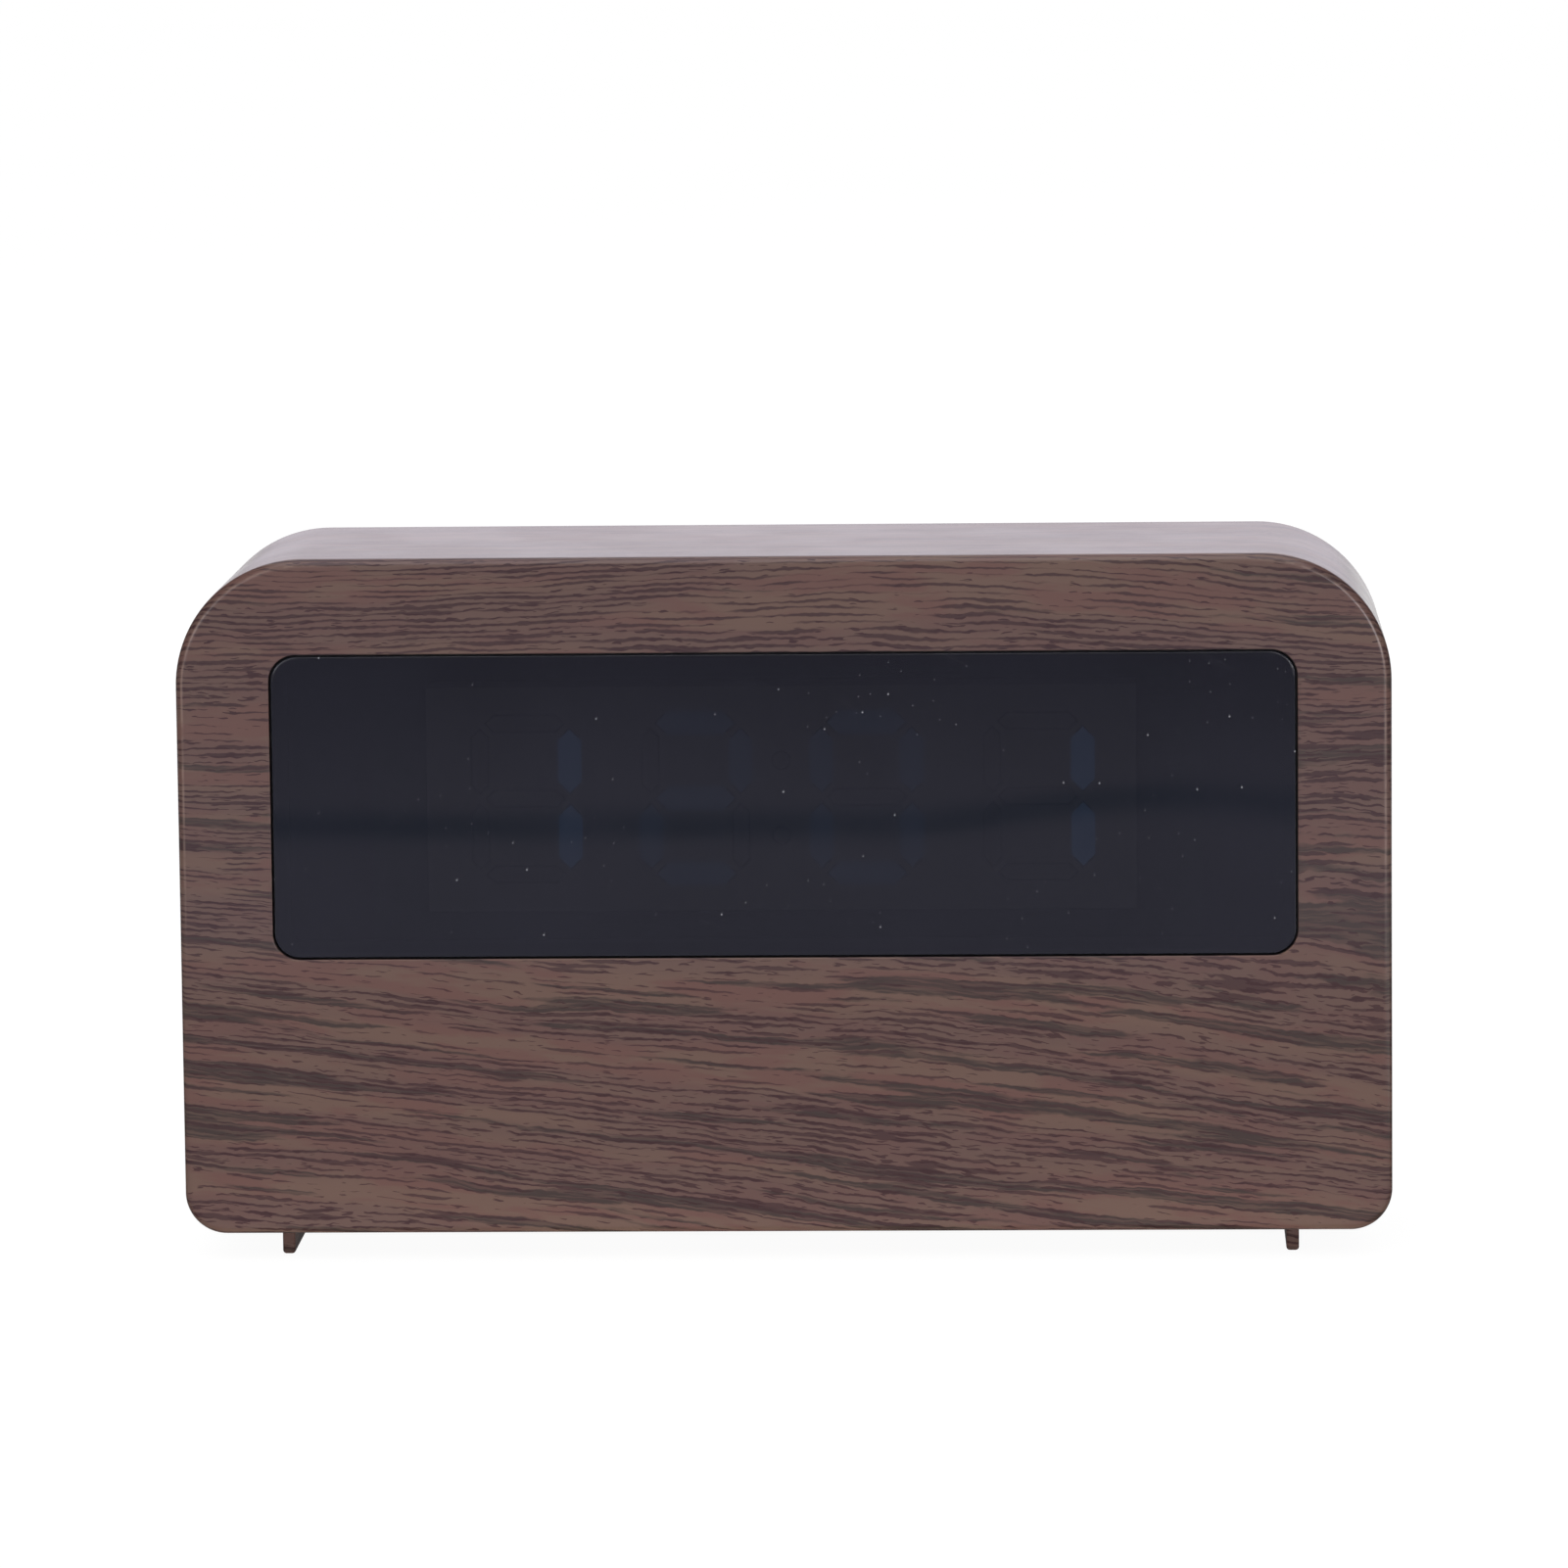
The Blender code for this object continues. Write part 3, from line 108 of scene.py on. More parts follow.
# Window and lens
WINDOW_RADIUS = 4.0 * MM
WINDOW_FRAME_WIDTH = 3.0 * MM
LEDGE_WIDTH = 2.5 * MM
LEDGE_THICKNESS = 1.4 * MM
LENS_BEVEL = 0.16 * MM
LENS_BACK_BEVEL = 0.15 * MM

# Digits
TIME = "1201"
DIGIT_PITCH = 25.4 * MM
DIGIT_WIDTH = 13.4 * MM
DIGIT_HEIGHT = 22.6 * MM
GLOW_WIDTH = 3.5 * MM
SEGMENT_ENDS = 1.8 * MM
LIT_THICKNESS = 0.05 * MM
LIT_PROUD = 0.08 * MM

# Rear cover and battery bay
COVER_THICKNESS = 2.2 * MM
COVER_PAD_RADIUS = 4.0 * MM
COVER_PAD_HEIGHT = 1.5 * MM
TRAY_WALL = 1.6 * MM
RIB_WIDTH = 1.2 * MM
RIB_HEIGHT = 2.2 * MM
RIB_EDGE = 0.2 * MM
TAB_SLOT_THICKNESS = 1.0 * MM
TAB_SLOT_WIDTH = 3.5 * MM
SOUND_SLOTS = 5
SOUND_SLOT_PITCH = 2.8 * MM
SOUND_SLOT_WIDTH = 1.4 * MM
SOUND_SLOT_LENGTH = 9.0 * MM

# Battery door
DOOR_THICKNESS = 1.8 * MM
DOOR_LIP = 1.2 * MM
DOOR_RADIUS = 1.5 * MM
HOOK_PITCH = 28.0 * MM
HOOK_WIDTH = 6.0 * MM
HOOK_REACH = 1.4 * MM
HOOK_ROOT = 1.5 * MM
HOOK_THICKNESS = 1.7 * MM
HOOK_ROOM = 0.7 * MM
TONGUE_WIDTH = 12.0 * MM
TONGUE_LENGTH = 9.0 * MM
TONGUE_SLOT = 0.8 * MM
GRIPS = 3
GRIP_PITCH = 1.8 * MM
GRIP_WIDTH = 0.8 * MM
GRIP_DEPTH = 0.5 * MM
GRIP_LENGTH = 8.0 * MM
THUMB_WIDTH = 14.0 * MM
THUMB_HEIGHT = 5.0 * MM
THUMB_DEPTH = 1.1 * MM

# Buttons
BUTTONS = ("set", "up", "down", "alarm")
BUTTON_RADIUS = 3.0 * MM
BUTTON_EDGE = 0.4 * MM
BUTTON_CROWN = 0.08 * MM
FLANGE_THICKNESS = 1.0 * MM
FLANGE_EDGE = 0.1 * MM
STEM_RADIUS = 2.0 * MM

# Screws
BOARD_SCREW_RADIUS = 0.9 * MM
SCREW_RADIUS = 1.2 * MM
HEAD_RADIUS = 2.6 * MM
HEAD_HEIGHT = 1.8 * MM
HEAD_EDGE = 0.55 * MM
HEAD_FLAT_INSET = 0.6 * MM
HEAD_CROWN = 0.05 * MM
HEAD_SHOULDER = 0.07 * MM
HEAD_SHARES = (0.35, 0.7, 0.9, 1.0)
# The cross slot's length and width, as shares of the head's width
CROSS_SHARES = (0.62, 0.13)
CROSS_DEPTH = 1.08 * MM
CROSS_EDGE = 0.04 * MM

# USB socket
USB_SHELL = 0.35 * MM
USB_EDGE = 0.08 * MM
USB_CAVITY_DEPTH = 6.6 * MM
USB_TONGUE_WIDTH = 6.7 * MM
USB_TONGUE_THICKNESS = 0.7 * MM
USB_TONGUE_SUNK = 0.9 * MM
USB_CONTACTS = 12
USB_CONTACT_PITCH = 0.5 * MM
USB_CONTACT_WIDTH = 0.24 * MM
USB_CONTACT_THICKNESS = 0.04 * MM
USB_CONTACT_SUNK = 1.3 * MM
USB_CONTACT_EDGE = 0.005 * MM

# Battery cells and their springs
CELL_COUNT = 3
CELL_PITCH = 11.1 * MM
CELL_EDGE = 0.7 * MM
CELL_BAND = 7.0 * MM
NUB_RADIUS = 1.9 * MM
NUB_LENGTH = 1.0 * MM
NUB_EDGE = 0.3 * MM
NUB_EDGE_STEPS = 4
CAP_RADIUS = 3.4 * MM
CAP_RISE = 0.1 * MM
WASHER_RADII = (3.5 * MM, 4.2 * MM)
WASHER_RISE = 0.25 * MM
CRIMP_RADIUS = 4.3 * MM
BASE_RADII = (4.2 * MM, 4.1 * MM, 3.9 * MM, 3.7 * MM)
BASE_GROOVE = 0.2 * MM
BASE_SUNK = 0.02 * MM
SPRING_WIRE = 0.35 * MM
SPRING_WIDE = 3.2 * MM
SPRING_NARROW = 1.9 * MM
SPRING_TURNS = 3.5
SPRING_FLAT_TURNS = 0.5
SPRING_STEPS = 112
SPRING_SIDES = 8


# Spans and places


def spans(node):
    """The spans of a CAD node's box in x, y and z."""
    return tuple(zip(*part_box(node)))


def middle(node):
    """The middle (x, z) of a CAD node's box."""
    x_span, _, z_span = spans(node)
    return sum(x_span) / 2, sum(z_span) / 2


def screw_middles(kind):
    return [middle(f"{kind}_screw_{number}") for number in (1, 2, 3, 4)]


def about(at, width):
    """The span of a width about its middle."""
    return at - width / 2, at + width / 2


def grown(span, by):
    return span[0] - by, span[1] + by


def row(at, count, pitch):
    """Evenly spaced places about a middle."""
    return [at + (number - (count - 1) / 2) * pitch for number in range(count)]


case_x, (front_face, rim_face), (_, case_top) = spans("front_case")
case_z = (FOOT_HEIGHT, case_top)
lens_x, lens_y, lens_z = spans("display_lens")
window_x = grown(lens_x, GAP)
window_z = grown(lens_z, GAP)
ledge_front = lens_y[1] + GAP
ledge_back = ledge_front + LEDGE_THICKNESS
housing_y = spans("display_housing")[1]
display_screws = screw_middles("display")

cover_front, cover_face = spans("rear_cover")[1]
cover_back = cover_face - COVER_THICKNESS
plate_middle = (cover_face + cover_back) / 2
pad_foot = cover_back - COVER_PAD_HEIGHT
beyond = cover_face + OVERRUN
cover_screws = screw_middles("cover")
screw_seat = spans("cover_screw_1")[1][1] - HEAD_HEIGHT
board_screws = screw_middles("board")
board_back = spans("main_board")[1][1]
button_middles = [middle("button_" + name) for name in BUTTONS]
usb_x, usb_y, usb_z = spans("usb_socket")
usb_radius = (usb_z[1] - usb_z[0]) / 2 - HAIR

door_x, door_y, door_z = spans("battery_door")
hook_middles = row(0.0, 2, HOOK_PITCH)
recess_x = grown(door_x, GAP)
recess_top = door_z[1] + GAP
tray_floor = cover_front + TRAY_WALL
bay_bottom = door_z[0] + HOOK_REACH
bay_x = grown(recess_x, -DOOR_LIP)
bay_z = (bay_bottom, recess_top - DOOR_LIP)


# Shader nodes


def is_output(value):
    return isinstance(value, bpy.types.NodeSocket)


def attach(socket, value):
    """Links a socket to a node's output, or sets it to a value."""
    if is_output(value):
        socket.id_data.links.new(value, socket)
    else:
        socket.default_value = value


def dress(node, inputs):
    for name, value in inputs.items():
        attach(node.inputs[name], value)


def add_node(kind, inputs, **settings):
    """A shader node with its inputs linked or set, in the tree of the first input that is linked."""
    tree = next(value.id_data for value in inputs.values() if is_output(value))
    node = tree.nodes.new("ShaderNode" + kind)
    for name, value in settings.items():
        setattr(node, name, value)
    dress(node, inputs)
    return node


def maths(operation, first, second=0.0):
    return add_node("Math", {0: first, 1: second}, operation=operation).outputs[0]


def chained(operation, result, others):
    for other in others:
        result = maths(operation, result, other)
    return result


def plus(first, *others):
    return chained("ADD", first, others)


def times(first, *others):
    return chained("MULTIPLY", first, others)


def minus(first, second):
    return maths("SUBTRACT", first, second)


def joined(x, y, z=0.0):
    return add_node("CombineXYZ", {0: x, 1: y, 2: z}).outputs[0]


def split(vector):
    return add_node("SeparateXYZ", {0: vector}).outputs


def noise(vector, scale, detail=2.0, roughness=0.5):
    inputs = {"Vector": vector, "Scale": scale, "Detail": detail, "Roughness": roughness}
    return add_node("TexNoise", inputs).outputs[0]


def ramp(value, low, high, from_value=0.0, to_value=1.0):
    """One value below low and another above high, with a smooth change between them."""
    inputs = {"Value": value, "From Min": low, "From Max": high, "To Min": from_value, "To Max": to_value}
    return add_node("MapRange", inputs, interpolation_type="SMOOTHSTEP").outputs[0]


def choice(switch, off_value, on_value):
    """One value where a switch is 0 and another where it is 1."""
    return ramp(switch, 0.0, 1.0, off_value, on_value)


def sideways(x, near, far, middle_value, side_value):
    """One value in the middle and another to both sides."""
    return ramp(maths("ABSOLUTE", x), near, far, middle_value, side_value)


def blend(factor, first, second):
    """One colour turning into another."""
    first, second = (colour if is_output(colour) else (*colour, 1.0) for colour in (first, second))
    return add_node("Mix", {0: factor, 6: first, 7: second}, data_type="RGBA").outputs[2]


def bump(height, distance):
    return add_node("Bump", {"Height": height, "Distance": distance}).outputs[0]


def place(tree):
    """Where a point is, in the part's own axes."""
    return tree.nodes.new("ShaderNodeTexCoord").outputs["Object"]


def attribute(tree, name, output):
    node = tree.nodes.new("ShaderNodeAttribute")
    node.attribute_name = name
    return node.outputs[output]


def fibre(along, across, length, thickness, seed, detail):
    """Noise drawn out along one direction."""
    vector = joined(maths("DIVIDE", along, length), maths("DIVIDE", across, thickness), seed)
    return noise(vector, 1.0, detail)


def shifted(value, by, amount):
    """A value moved by noise about its middle."""
    return plus(value, times(minus(by, 0.5), amount))


# Materials

# Most of a noise lies between these
SPREAD = (0.3, 0.7)
FINE_RELIEF = 0.02 * MM


def new_material(name):
    """A material, its shader and the place of its points."""
    made = bpy.data.materials.new(name)
    made.use_nodes = True
    return made, made.node_tree.nodes["Principled BSDF"], place(made.node_tree)


# Dark and light colour, least and most roughness, grain per metre, and for some, metal and relief
PLAIN_FINISHES = {
    "display_grey": ((0.5, 0.5, 0.49), (0.56, 0.56, 0.55), (0.5, 0.6), 1500),
    "milky_resin": ((0.45, 0.455, 0.46), (0.51, 0.515, 0.52), (0.3, 0.4), 500),
    "zinc_screw": ((0.5, 0.5, 0.48), (0.66, 0.66, 0.64), (0.25, 0.4), 1800, 1.0),
    "component_black": ((0.02, 0.02, 0.022), (0.03, 0.03, 0.032), (0.45, 0.6), 2200),
    "bright_metal": ((0.55, 0.55, 0.56), (0.7, 0.7, 0.71), (0.2, 0.32), 900, 1.0),
    "capacitor_sleeve": ((0.024, 0.04, 0.13), (0.034, 0.055, 0.18), (0.2, 0.3), 500),
    "button_grey": ((0.032, 0.032, 0.034), (0.042, 0.042, 0.044), (0.45, 0.58), 2400),
    "black_plastic": ((0.018, 0.018, 0.02), (0.026, 0.026, 0.028), (0.42, 0.55), 2600, 0.0, 0.03 * MM),
    "black_screw": ((0.07, 0.07, 0.075), (0.12, 0.12, 0.125), (0.28, 0.42), 1600, 1.0),
    "cell_sleeve": ((0.05, 0.07, 0.1), (0.07, 0.09, 0.12), (0.25, 0.35), 400, 0.3),
    "cell_band": ((0.34, 0.36, 0.38), (0.42, 0.44, 0.46), (0.25, 0.35), 400, 0.4),
    "contact_nickel": ((0.6, 0.58, 0.53), (0.76, 0.74, 0.68), (0.22, 0.35), 1200, 1.0),
    "wire_black": ((0.018, 0.018, 0.018), (0.026, 0.026, 0.026), (0.4, 0.55), 1200),
    "wire_red": ((0.3, 0.018, 0.018), (0.4, 0.025, 0.022), (0.4, 0.55), 1200),
    "socket_white": ((0.7, 0.69, 0.64), (0.78, 0.77, 0.73), (0.4, 0.5), 1500),
}
PATCHES_PER_METRE = 140.0


def plain_finish(name, dark, light, rough, grain, metal=0.0, relief=FINE_RELIEF):
    """A moulded or metal surface, uneven in colour and gloss, with a fine grain."""
    made, shader, where = new_material(name)
    patches = noise(where, PATCHES_PER_METRE, 3.0)
    fine = noise(where, grain, 2.0, 0.6)
    tone = plus(times(fine, 0.4), times(patches, 0.6))
    dress(shader, {
        "Base Color": blend(ramp(tone, 0.35, 0.65), dark, light),
        "Roughness": ramp(patches, *SPREAD, *rough),
        "Normal": bump(fine, relief),
        "Metallic": metal,
    })
    return made


# The gloss that the lamps and the room add to the front, taken off each colour seen there
FRONT_GLOSS = (0.025, 0.025, 0.026)
LEAST_COLOUR = 0.002


def under_gloss(*levels):
    """A linear colour that looks as given, from 0 to 255, once the surface's own gloss is added."""
    linear = [((level / 255 + 0.055) / 1.055) ** 2.4 for level in levels]
    return [max(level - gloss, LEAST_COLOUR) for level, gloss in zip(linear, FRONT_GLOSS)]


OLIVE_BROWN = under_gloss(111, 90, 81)
RED_BROWN = under_gloss(109, 83, 77)
PURPLE_BROWN = under_gloss(100, 81, 77)
GREY_STREAK = under_gloss(72, 63, 60)
DARK_LINE = under_gloss(73, 57, 57)
DARK_DASH = under_gloss(69, 52, 53)
# Painted highlight: a paler print colour that stands in for a lamp's reflection along the front edge
PAINTED_HIGHLIGHT_COLOUR = under_gloss(150, 127, 118)
MAUVE = (0.105, 0.095, 0.115)

# What the print is drawn with: length, thickness, seed and detail of each noise along the grain
WAVE = (120 * MM, 40 * MM, 3.1, 0.0)
RIPPLE = (15 * MM, 6 * MM, 7.7, 1.0)
RAGGED = (1.6 * MM, 1.2 * MM, 9.2, 1.0)
DENSITY = (80 * MM, 5.5 * MM, 1.3, 1.0)
PATCHES = (14 * MM, 2.6 * MM, 5.5, 3.0)
STREAKS = (55 * MM, 2.2 * MM, 11.0, 1.0)
STREAK_ENDS = (4 * MM, 0.5 * MM, 23.0, 1.0)
LINES = (12 * MM, 1.3 * MM, 19.0, 1.0)
DASHES = (3.2 * MM, 0.36 * MM, 17.0, 1.0)
THREADS = (8 * MM, 0.4 * MM, 29.0, 1.0)

# How far the grain is moved, the pitch of its rows and how steeply it falls
WAVE_SWAY = 11 * MM
RIPPLE_SWAY = 2.0 * MM
RAGGED_SWAY = 0.5 * MM
ROW_PITCH = 1.0 * MM
GRAIN_SLOPE = 0.11

# Heights and places across over which the print changes, and over which the painted highlight line shows
SLOPE_HEIGHTS = (34 * MM, 84 * MM)
LOW_HEIGHTS = (40 * MM, 60 * MM)
HIGH_HEIGHTS = (84 * MM, 92 * MM)
MAUVE_HEIGHTS = (38 * MM, 52 * MM)
STREAKED_PLACES = (-30 * MM, 70 * MM)
PAINTED_HIGHLIGHT_HEIGHTS = (40 * MM, 75 * MM)
PAINTED_HIGHLIGHT_PLACES = (64 * MM, 78 * MM)


def wood_grain(vector):
    """The print's colour, and where its short dark dashes are."""
    along, height, _ = split(vector)
    # Lower down, the grain falls to the right
    slope = ramp(height, *SLOPE_HEIGHTS, GRAIN_SLOPE, 0.0)
    across = plus(height, times(along, slope))
    across = shifted(across, fibre(along, across, *WAVE), WAVE_SWAY)
    across = shifted(across, fibre(along, across, *RIPPLE), RIPPLE_SWAY)
    ragged = shifted(across, fibre(along, across, *RAGGED), RAGGED_SWAY)

    low = ramp(height, *LOW_HEIGHTS, 1.0, 0.0)
    high = ramp(height, *HIGH_HEIGHTS)
    dense = ramp(minus(fibre(along, across, *DENSITY), times(low, 0.02)), 0.38, 0.58)
    ground = blend(ramp(fibre(along, across, *PATCHES), 0.44, 0.58), OLIVE_BROWN, RED_BROWN)
    ground = blend(times(dense, 0.6), ground, PURPLE_BROWN)

    # Rows that the lines and dashes keep to
    rows = maths("COSINE", times(ragged, 2 * math.pi / ROW_PITCH))

    streak = shifted(fibre(along, ragged, *STREAKS), fibre(along, ragged, *STREAK_ENDS), 0.10)
    streak = plus(streak, times(low, 0.04), ramp(along, *STREAKED_PLACES, 0.0, 0.045))
    streak = minus(streak, times(high, 0.08))
    threads = ramp(fibre(along, ragged, *THREADS), 0.36, 0.58, 0.5, 0.95)
    streaks = times(ramp(streak, 0.60, 0.65), threads)

    line = plus(fibre(along, ragged, *LINES), times(rows, choice(high, 0.12, 0.20)), times(dense, 0.10))
    lines = ramp(line, choice(high, 0.645, 0.57), choice(high, 0.70, 0.77))

    dash = plus(fibre(along, ragged, *DASHES), times(rows, 0.06), times(dense, 0.10))
    dashes = ramp(minus(dash, times(high, 0.02)), 0.668, 0.698)

    colour = blend(streaks, ground, GREY_STREAK)
    share = choice(low, 0.9, 0.76)
    colour = blend(times(lines, share), colour, DARK_LINE)
    colour = blend(times(dashes, share), colour, DARK_DASH)
    return blend(ramp(height, *MAUVE_HEIGHTS, 0.0, 0.1), colour, MAUVE), dashes


def wood_print():
    made, shader, where = new_material("wood_print")
    colour, dark = wood_grain(attribute(made.node_tree, "grain", "Vector"))
    x, _, z = split(where)
    # Painted highlight: a pale line along the front edge's fillet on the arcs and sides, higher up and
    # broken by noise
    painted_highlight = times(
        attribute(made.node_tree, "painted_highlight", "Fac"),
        sideways(x, *PAINTED_HIGHLIGHT_PLACES, 0.0, 0.5),
        ramp(z, *PAINTED_HIGHLIGHT_HEIGHTS),
        ramp(noise(where, 420.0), 0.35, 0.6, 0.25, 1.0),
    )
    orange_peel = noise(where, 1500.0)
    dress(shader, {
        "Base Color": blend(painted_highlight, colour, PAINTED_HIGHLIGHT_COLOUR),
        "Roughness": ramp(noise(where, 60.0), *SPREAD, 0.34, 0.42),
        "Normal": bump(minus(orange_peel, times(dark, 0.25)), FINE_RELIEF),
        "Specular IOR Level": 0.2,
        "Coat Weight": 0.55,
        "Coat Roughness": 0.15,
    })
    return made


LENS_DEEP = (0.0104, 0.0104, 0.016)
LENS_PALE = (0.0126, 0.0126, 0.0194)
SCRATCH = (0.05, 0.05, 0.06)
DUST = (0.3, 0.3, 0.32)
# Length, width, seed and detail of the noise behind the hair scratches, and how steeply they lie
HAIRS = (14 * MM, 0.22 * MM, 0.0, 0.0)
HAIR_SLOPE = 0.5
SPECKS_PER_METRE = 95.0
DUST_PER_METRE = 230.0


def specks(flat, per_metre, size, edge, strength, least, most):
    """Specks about scattered points. They fade out where their size falls from the most to the least."""
    inputs = {"Vector": flat, "Scale": per_metre}
    points = add_node("TexVoronoi", inputs, voronoi_dimensions="2D").outputs["Distance"]
    return times(ramp(minus(points, size), 0.0, edge, strength, 0.0), ramp(size, least, most))


def tinted_acrylic():
    """A dark window that lets the lit digits through, with dust and hair scratches."""
    made, shader, where = new_material("tinted_acrylic")
    x, _, z = split(where)
    flat = joined(x, z)
    haze = noise(where, 25.0)
    size = ramp(noise(where, 45.0, 0.0), 0.40, 0.66, 0.0, 0.009)
    large = specks(flat, SPECKS_PER_METRE, size, 0.006, 1.0, 0.001, 0.004)
    size = ramp(noise(where, 60.0, 1.0), 0.5, 0.6, 0.0, 0.014)
    small = specks(flat, DUST_PER_METRE, size, 0.008, 0.6, 0.002, 0.006)
    dust = maths("MAXIMUM", large, small)
    hair = fibre(plus(x, times(z, -HAIR_SLOPE)), plus(z, times(x, HAIR_SLOPE)), *HAIRS)
    hairs = times(ramp(hair, 0.76, 0.84), ramp(noise(where, 38.0, 0.0), 0.5, 0.66))
    tint = blend(times(hairs, 0.5), blend(ramp(haze, *SPREAD), LENS_DEEP, LENS_PALE), SCRATCH)
    dress(shader, {
        "Base Color": blend(dust, tint, DUST),
        "Roughness": ramp(haze, *SPREAD, 0.03, 0.05),
        "Alpha": maths("MAXIMUM", dust, ramp(haze, *SPREAD, 0.76, 0.78)),
        "Normal": bump(hairs, 0.002 * MM),
    })
    made.surface_render_method = "BLENDED"
    return made


def lit_resin():
    """Segments with a light behind them, some brighter than others."""
    made, shader, where = new_material("lit_resin")
    uneven = noise(where, 220.0)
    dress(shader, {
        "Base Color": blend(uneven, (0.42, 0.44, 0.46), (0.48, 0.5, 0.52)),
        "Roughness": ramp(uneven, *SPREAD, 0.35, 0.45),
        "Emission Color": blend(uneven, (0.04, 0.22, 0.56), (0.06, 0.26, 0.62)),
        "Emission Strength": attribute(made.node_tree, "glow", "Fac"),
    })
    return made


TRACKS_PER_METRE = 260.0
MASK_GREEN = (0.012, 0.07, 0.036)
TRACK_GREEN = (0.03, 0.15, 0.07)


def circuit_board():
    """Solder mask over copper tracks."""
    made, shader, where = new_material("circuit_board")
    x, _, z = split(where)
    inputs = {"Vector": joined(x, z), "Scale": TRACKS_PER_METRE, "Mortar Size": 0.06, "Mortar Smooth": 0.2}
    patches = ramp(noise(where, 70.0, 1.0), 0.42, 0.5)
    tracks = times(add_node("TexBrick", inputs).outputs["Fac"], patches)
    dress(shader, {
        "Base Color": blend(tracks, MASK_GREEN, TRACK_GREEN),
        "Roughness": choice(patches, 0.3, 0.38),
        "Normal": bump(tracks, 0.04 * MM),
    })
    return made


LEAD_PITCH = 1.27 * MM


def ribbon_grey():
    """The even leads of a flat cable."""
    made, shader, where = new_material("ribbon_grey")
    wave = maths("SINE", times(split(where)[0], 2 * math.pi / LEAD_PITCH))
    fine = noise(where, 700.0)
    dress(shader, {
        "Base Color": blend(times(ramp(wave, -0.4, 0.4), fine), (0.33, 0.33, 0.35), (0.46, 0.46, 0.48)),
        "Roughness": ramp(fine, *SPREAD, 0.4, 0.5),
        "Normal": bump(maths("ABSOLUTE", wave), 0.1 * MM),
    })
    return made


finishes = {name: plain_finish(name, *looks) for name, looks in PLAIN_FINISHES.items()}
for make_material in (wood_print, tinted_acrylic, lit_resin, circuit_board, ribbon_grey):
    finishes[make_material.__name__] = make_material()

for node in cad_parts.values():
    for holder in node.material_slots:
        holder.material = finishes[holder.material.name.split(".")[0]]


# Shapes


def link(obj):
    bpy.context.scene.collection.objects.link(obj)
    return obj


def new_object(name, bm):
    """An object from a mesh in world places."""
    mesh = bpy.data.meshes.new(name)
    bm.to_mesh(mesh)
    bm.free()
    return link(bpy.data.objects.new(name, mesh))


def closed_object(name, bm):
    """An object from a closed mesh, with its faces turned outwards."""
    bmesh.ops.recalc_face_normals(bm, faces=bm.faces)
    return new_object(name, bm)


def finished(name, bm, body, looks, *replaced, slot=None):
    """A piece on its body, with its finishes by name. Its slot argument is not used."""
    obj = closed_object(name, bm)
    mesh = obj.data
    for look in looks:
        mesh.materials.append(finishes[look])
    mesh.shade_smooth()
    mesh.set_sharp_from_angle(angle=SHARP_ANGLE)
    obj.modifiers.new("even_normals", "WEIGHTED_NORMAL").keep_sharp = True
    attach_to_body(obj, body)
    if replaced:
        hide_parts(*replaced)


def circle(sides):
    """(cosine, sine) of even steps round a circle."""
    turns = [2 * math.pi * step / sides for step in range(sides)]
    return [(math.cos(turn), math.sin(turn)) for turn in turns]


def quarter(radius, steps):
    """(inset, depth) steps round a fillet, from a flat end to the side."""
    turns = [math.pi / 2 * step / steps for step in range(steps + 1)]
    return [(radius * (1 - math.sin(turn)), radius * (1 - math.cos(turn))) for turn in turns]


def rounded_ring(x_span, z_span, top_radius, bottom_radius):
    """Points (x, z) round a rounded outline, and the way out (x, z) at each."""
    left, right = x_span
    low, high = z_span
    corners = (
        (right - bottom_radius, low + bottom_radius, bottom_radius, -90),
        (right - top_radius, high - top_radius, top_radius, 0),
        (left + top_radius, high - top_radius, top_radius, 90),
        (left + bottom_radius, low + bottom_radius, bottom_radius, 180),
    )
    ring = []
    for x, z, radius, start in corners:
        for step in range(CORNER_STEPS + 1):
            angle = math.radians(start + 90 * step / CORNER_STEPS)
            out = Vector((math.cos(angle), math.sin(angle)))
            ring.append((Vector((x, z)) + radius * out, out))
    return ring


def inset_ring(x_span, z_span, top_radius, bottom_radius, inset):
    """A rounded outline drawn in, with corners no sharper than the least radius."""
    radii = [max(radius - inset, LEAST_RADIUS) for radius in (top_radius, bottom_radius)]
    return rounded_ring(grown(x_span, -inset), grown(z_span, -inset), *radii)


def case_ring(inset):
    return inset_ring(case_x, case_z, TOP_RADIUS, BOTTOM_RADIUS, inset)


def window_ring(inset):
    return inset_ring(window_x, window_z, WINDOW_RADIUS, WINDOW_RADIUS, inset)


def at_depth(ring, depth):
    """An outline's points (x, y, z) at one depth."""
    return [(point.x, depth, point.y) for point, _ in ring]


def bridge(bm, first, second, index=0):
    """Faces between two rings with the same count of points."""
    count = len(first)
    for here in range(count):
        after = (here + 1) % count
        face = bm.faces.new((first[here], first[after], second[after], second[here]))
        face.material_index = index


def loft(bm, rings, indices=None, ends=(0, 0)):
    """Rings of points joined in order and closed at both ends.

    The indices are the materials of the stretches between rings, and the ends those of the two caps.
    """
    rings = [[bm.verts.new(point) for point in ring] for ring in rings]
    for first, second, index in zip(rings, rings[1:], indices or [0] * len(rings)):
        bridge(bm, first, second, index)
    for ring, index in ((rings[0], ends[0]), (rings[-1], ends[1])):
        bm.faces.new(ring).material_index = index


def add_turned(bm, x, z, profile, sides=ROUND_SIDES, index=0):
    """A (radius, depth) profile turned about a line along y."""
    rings = [
        [(x + radius * across, depth, z + radius * up) for across, up in circle(sides)]
        for radius, depth in profile
    ]
    loft(bm, rings, [index] * len(rings), (index, index))


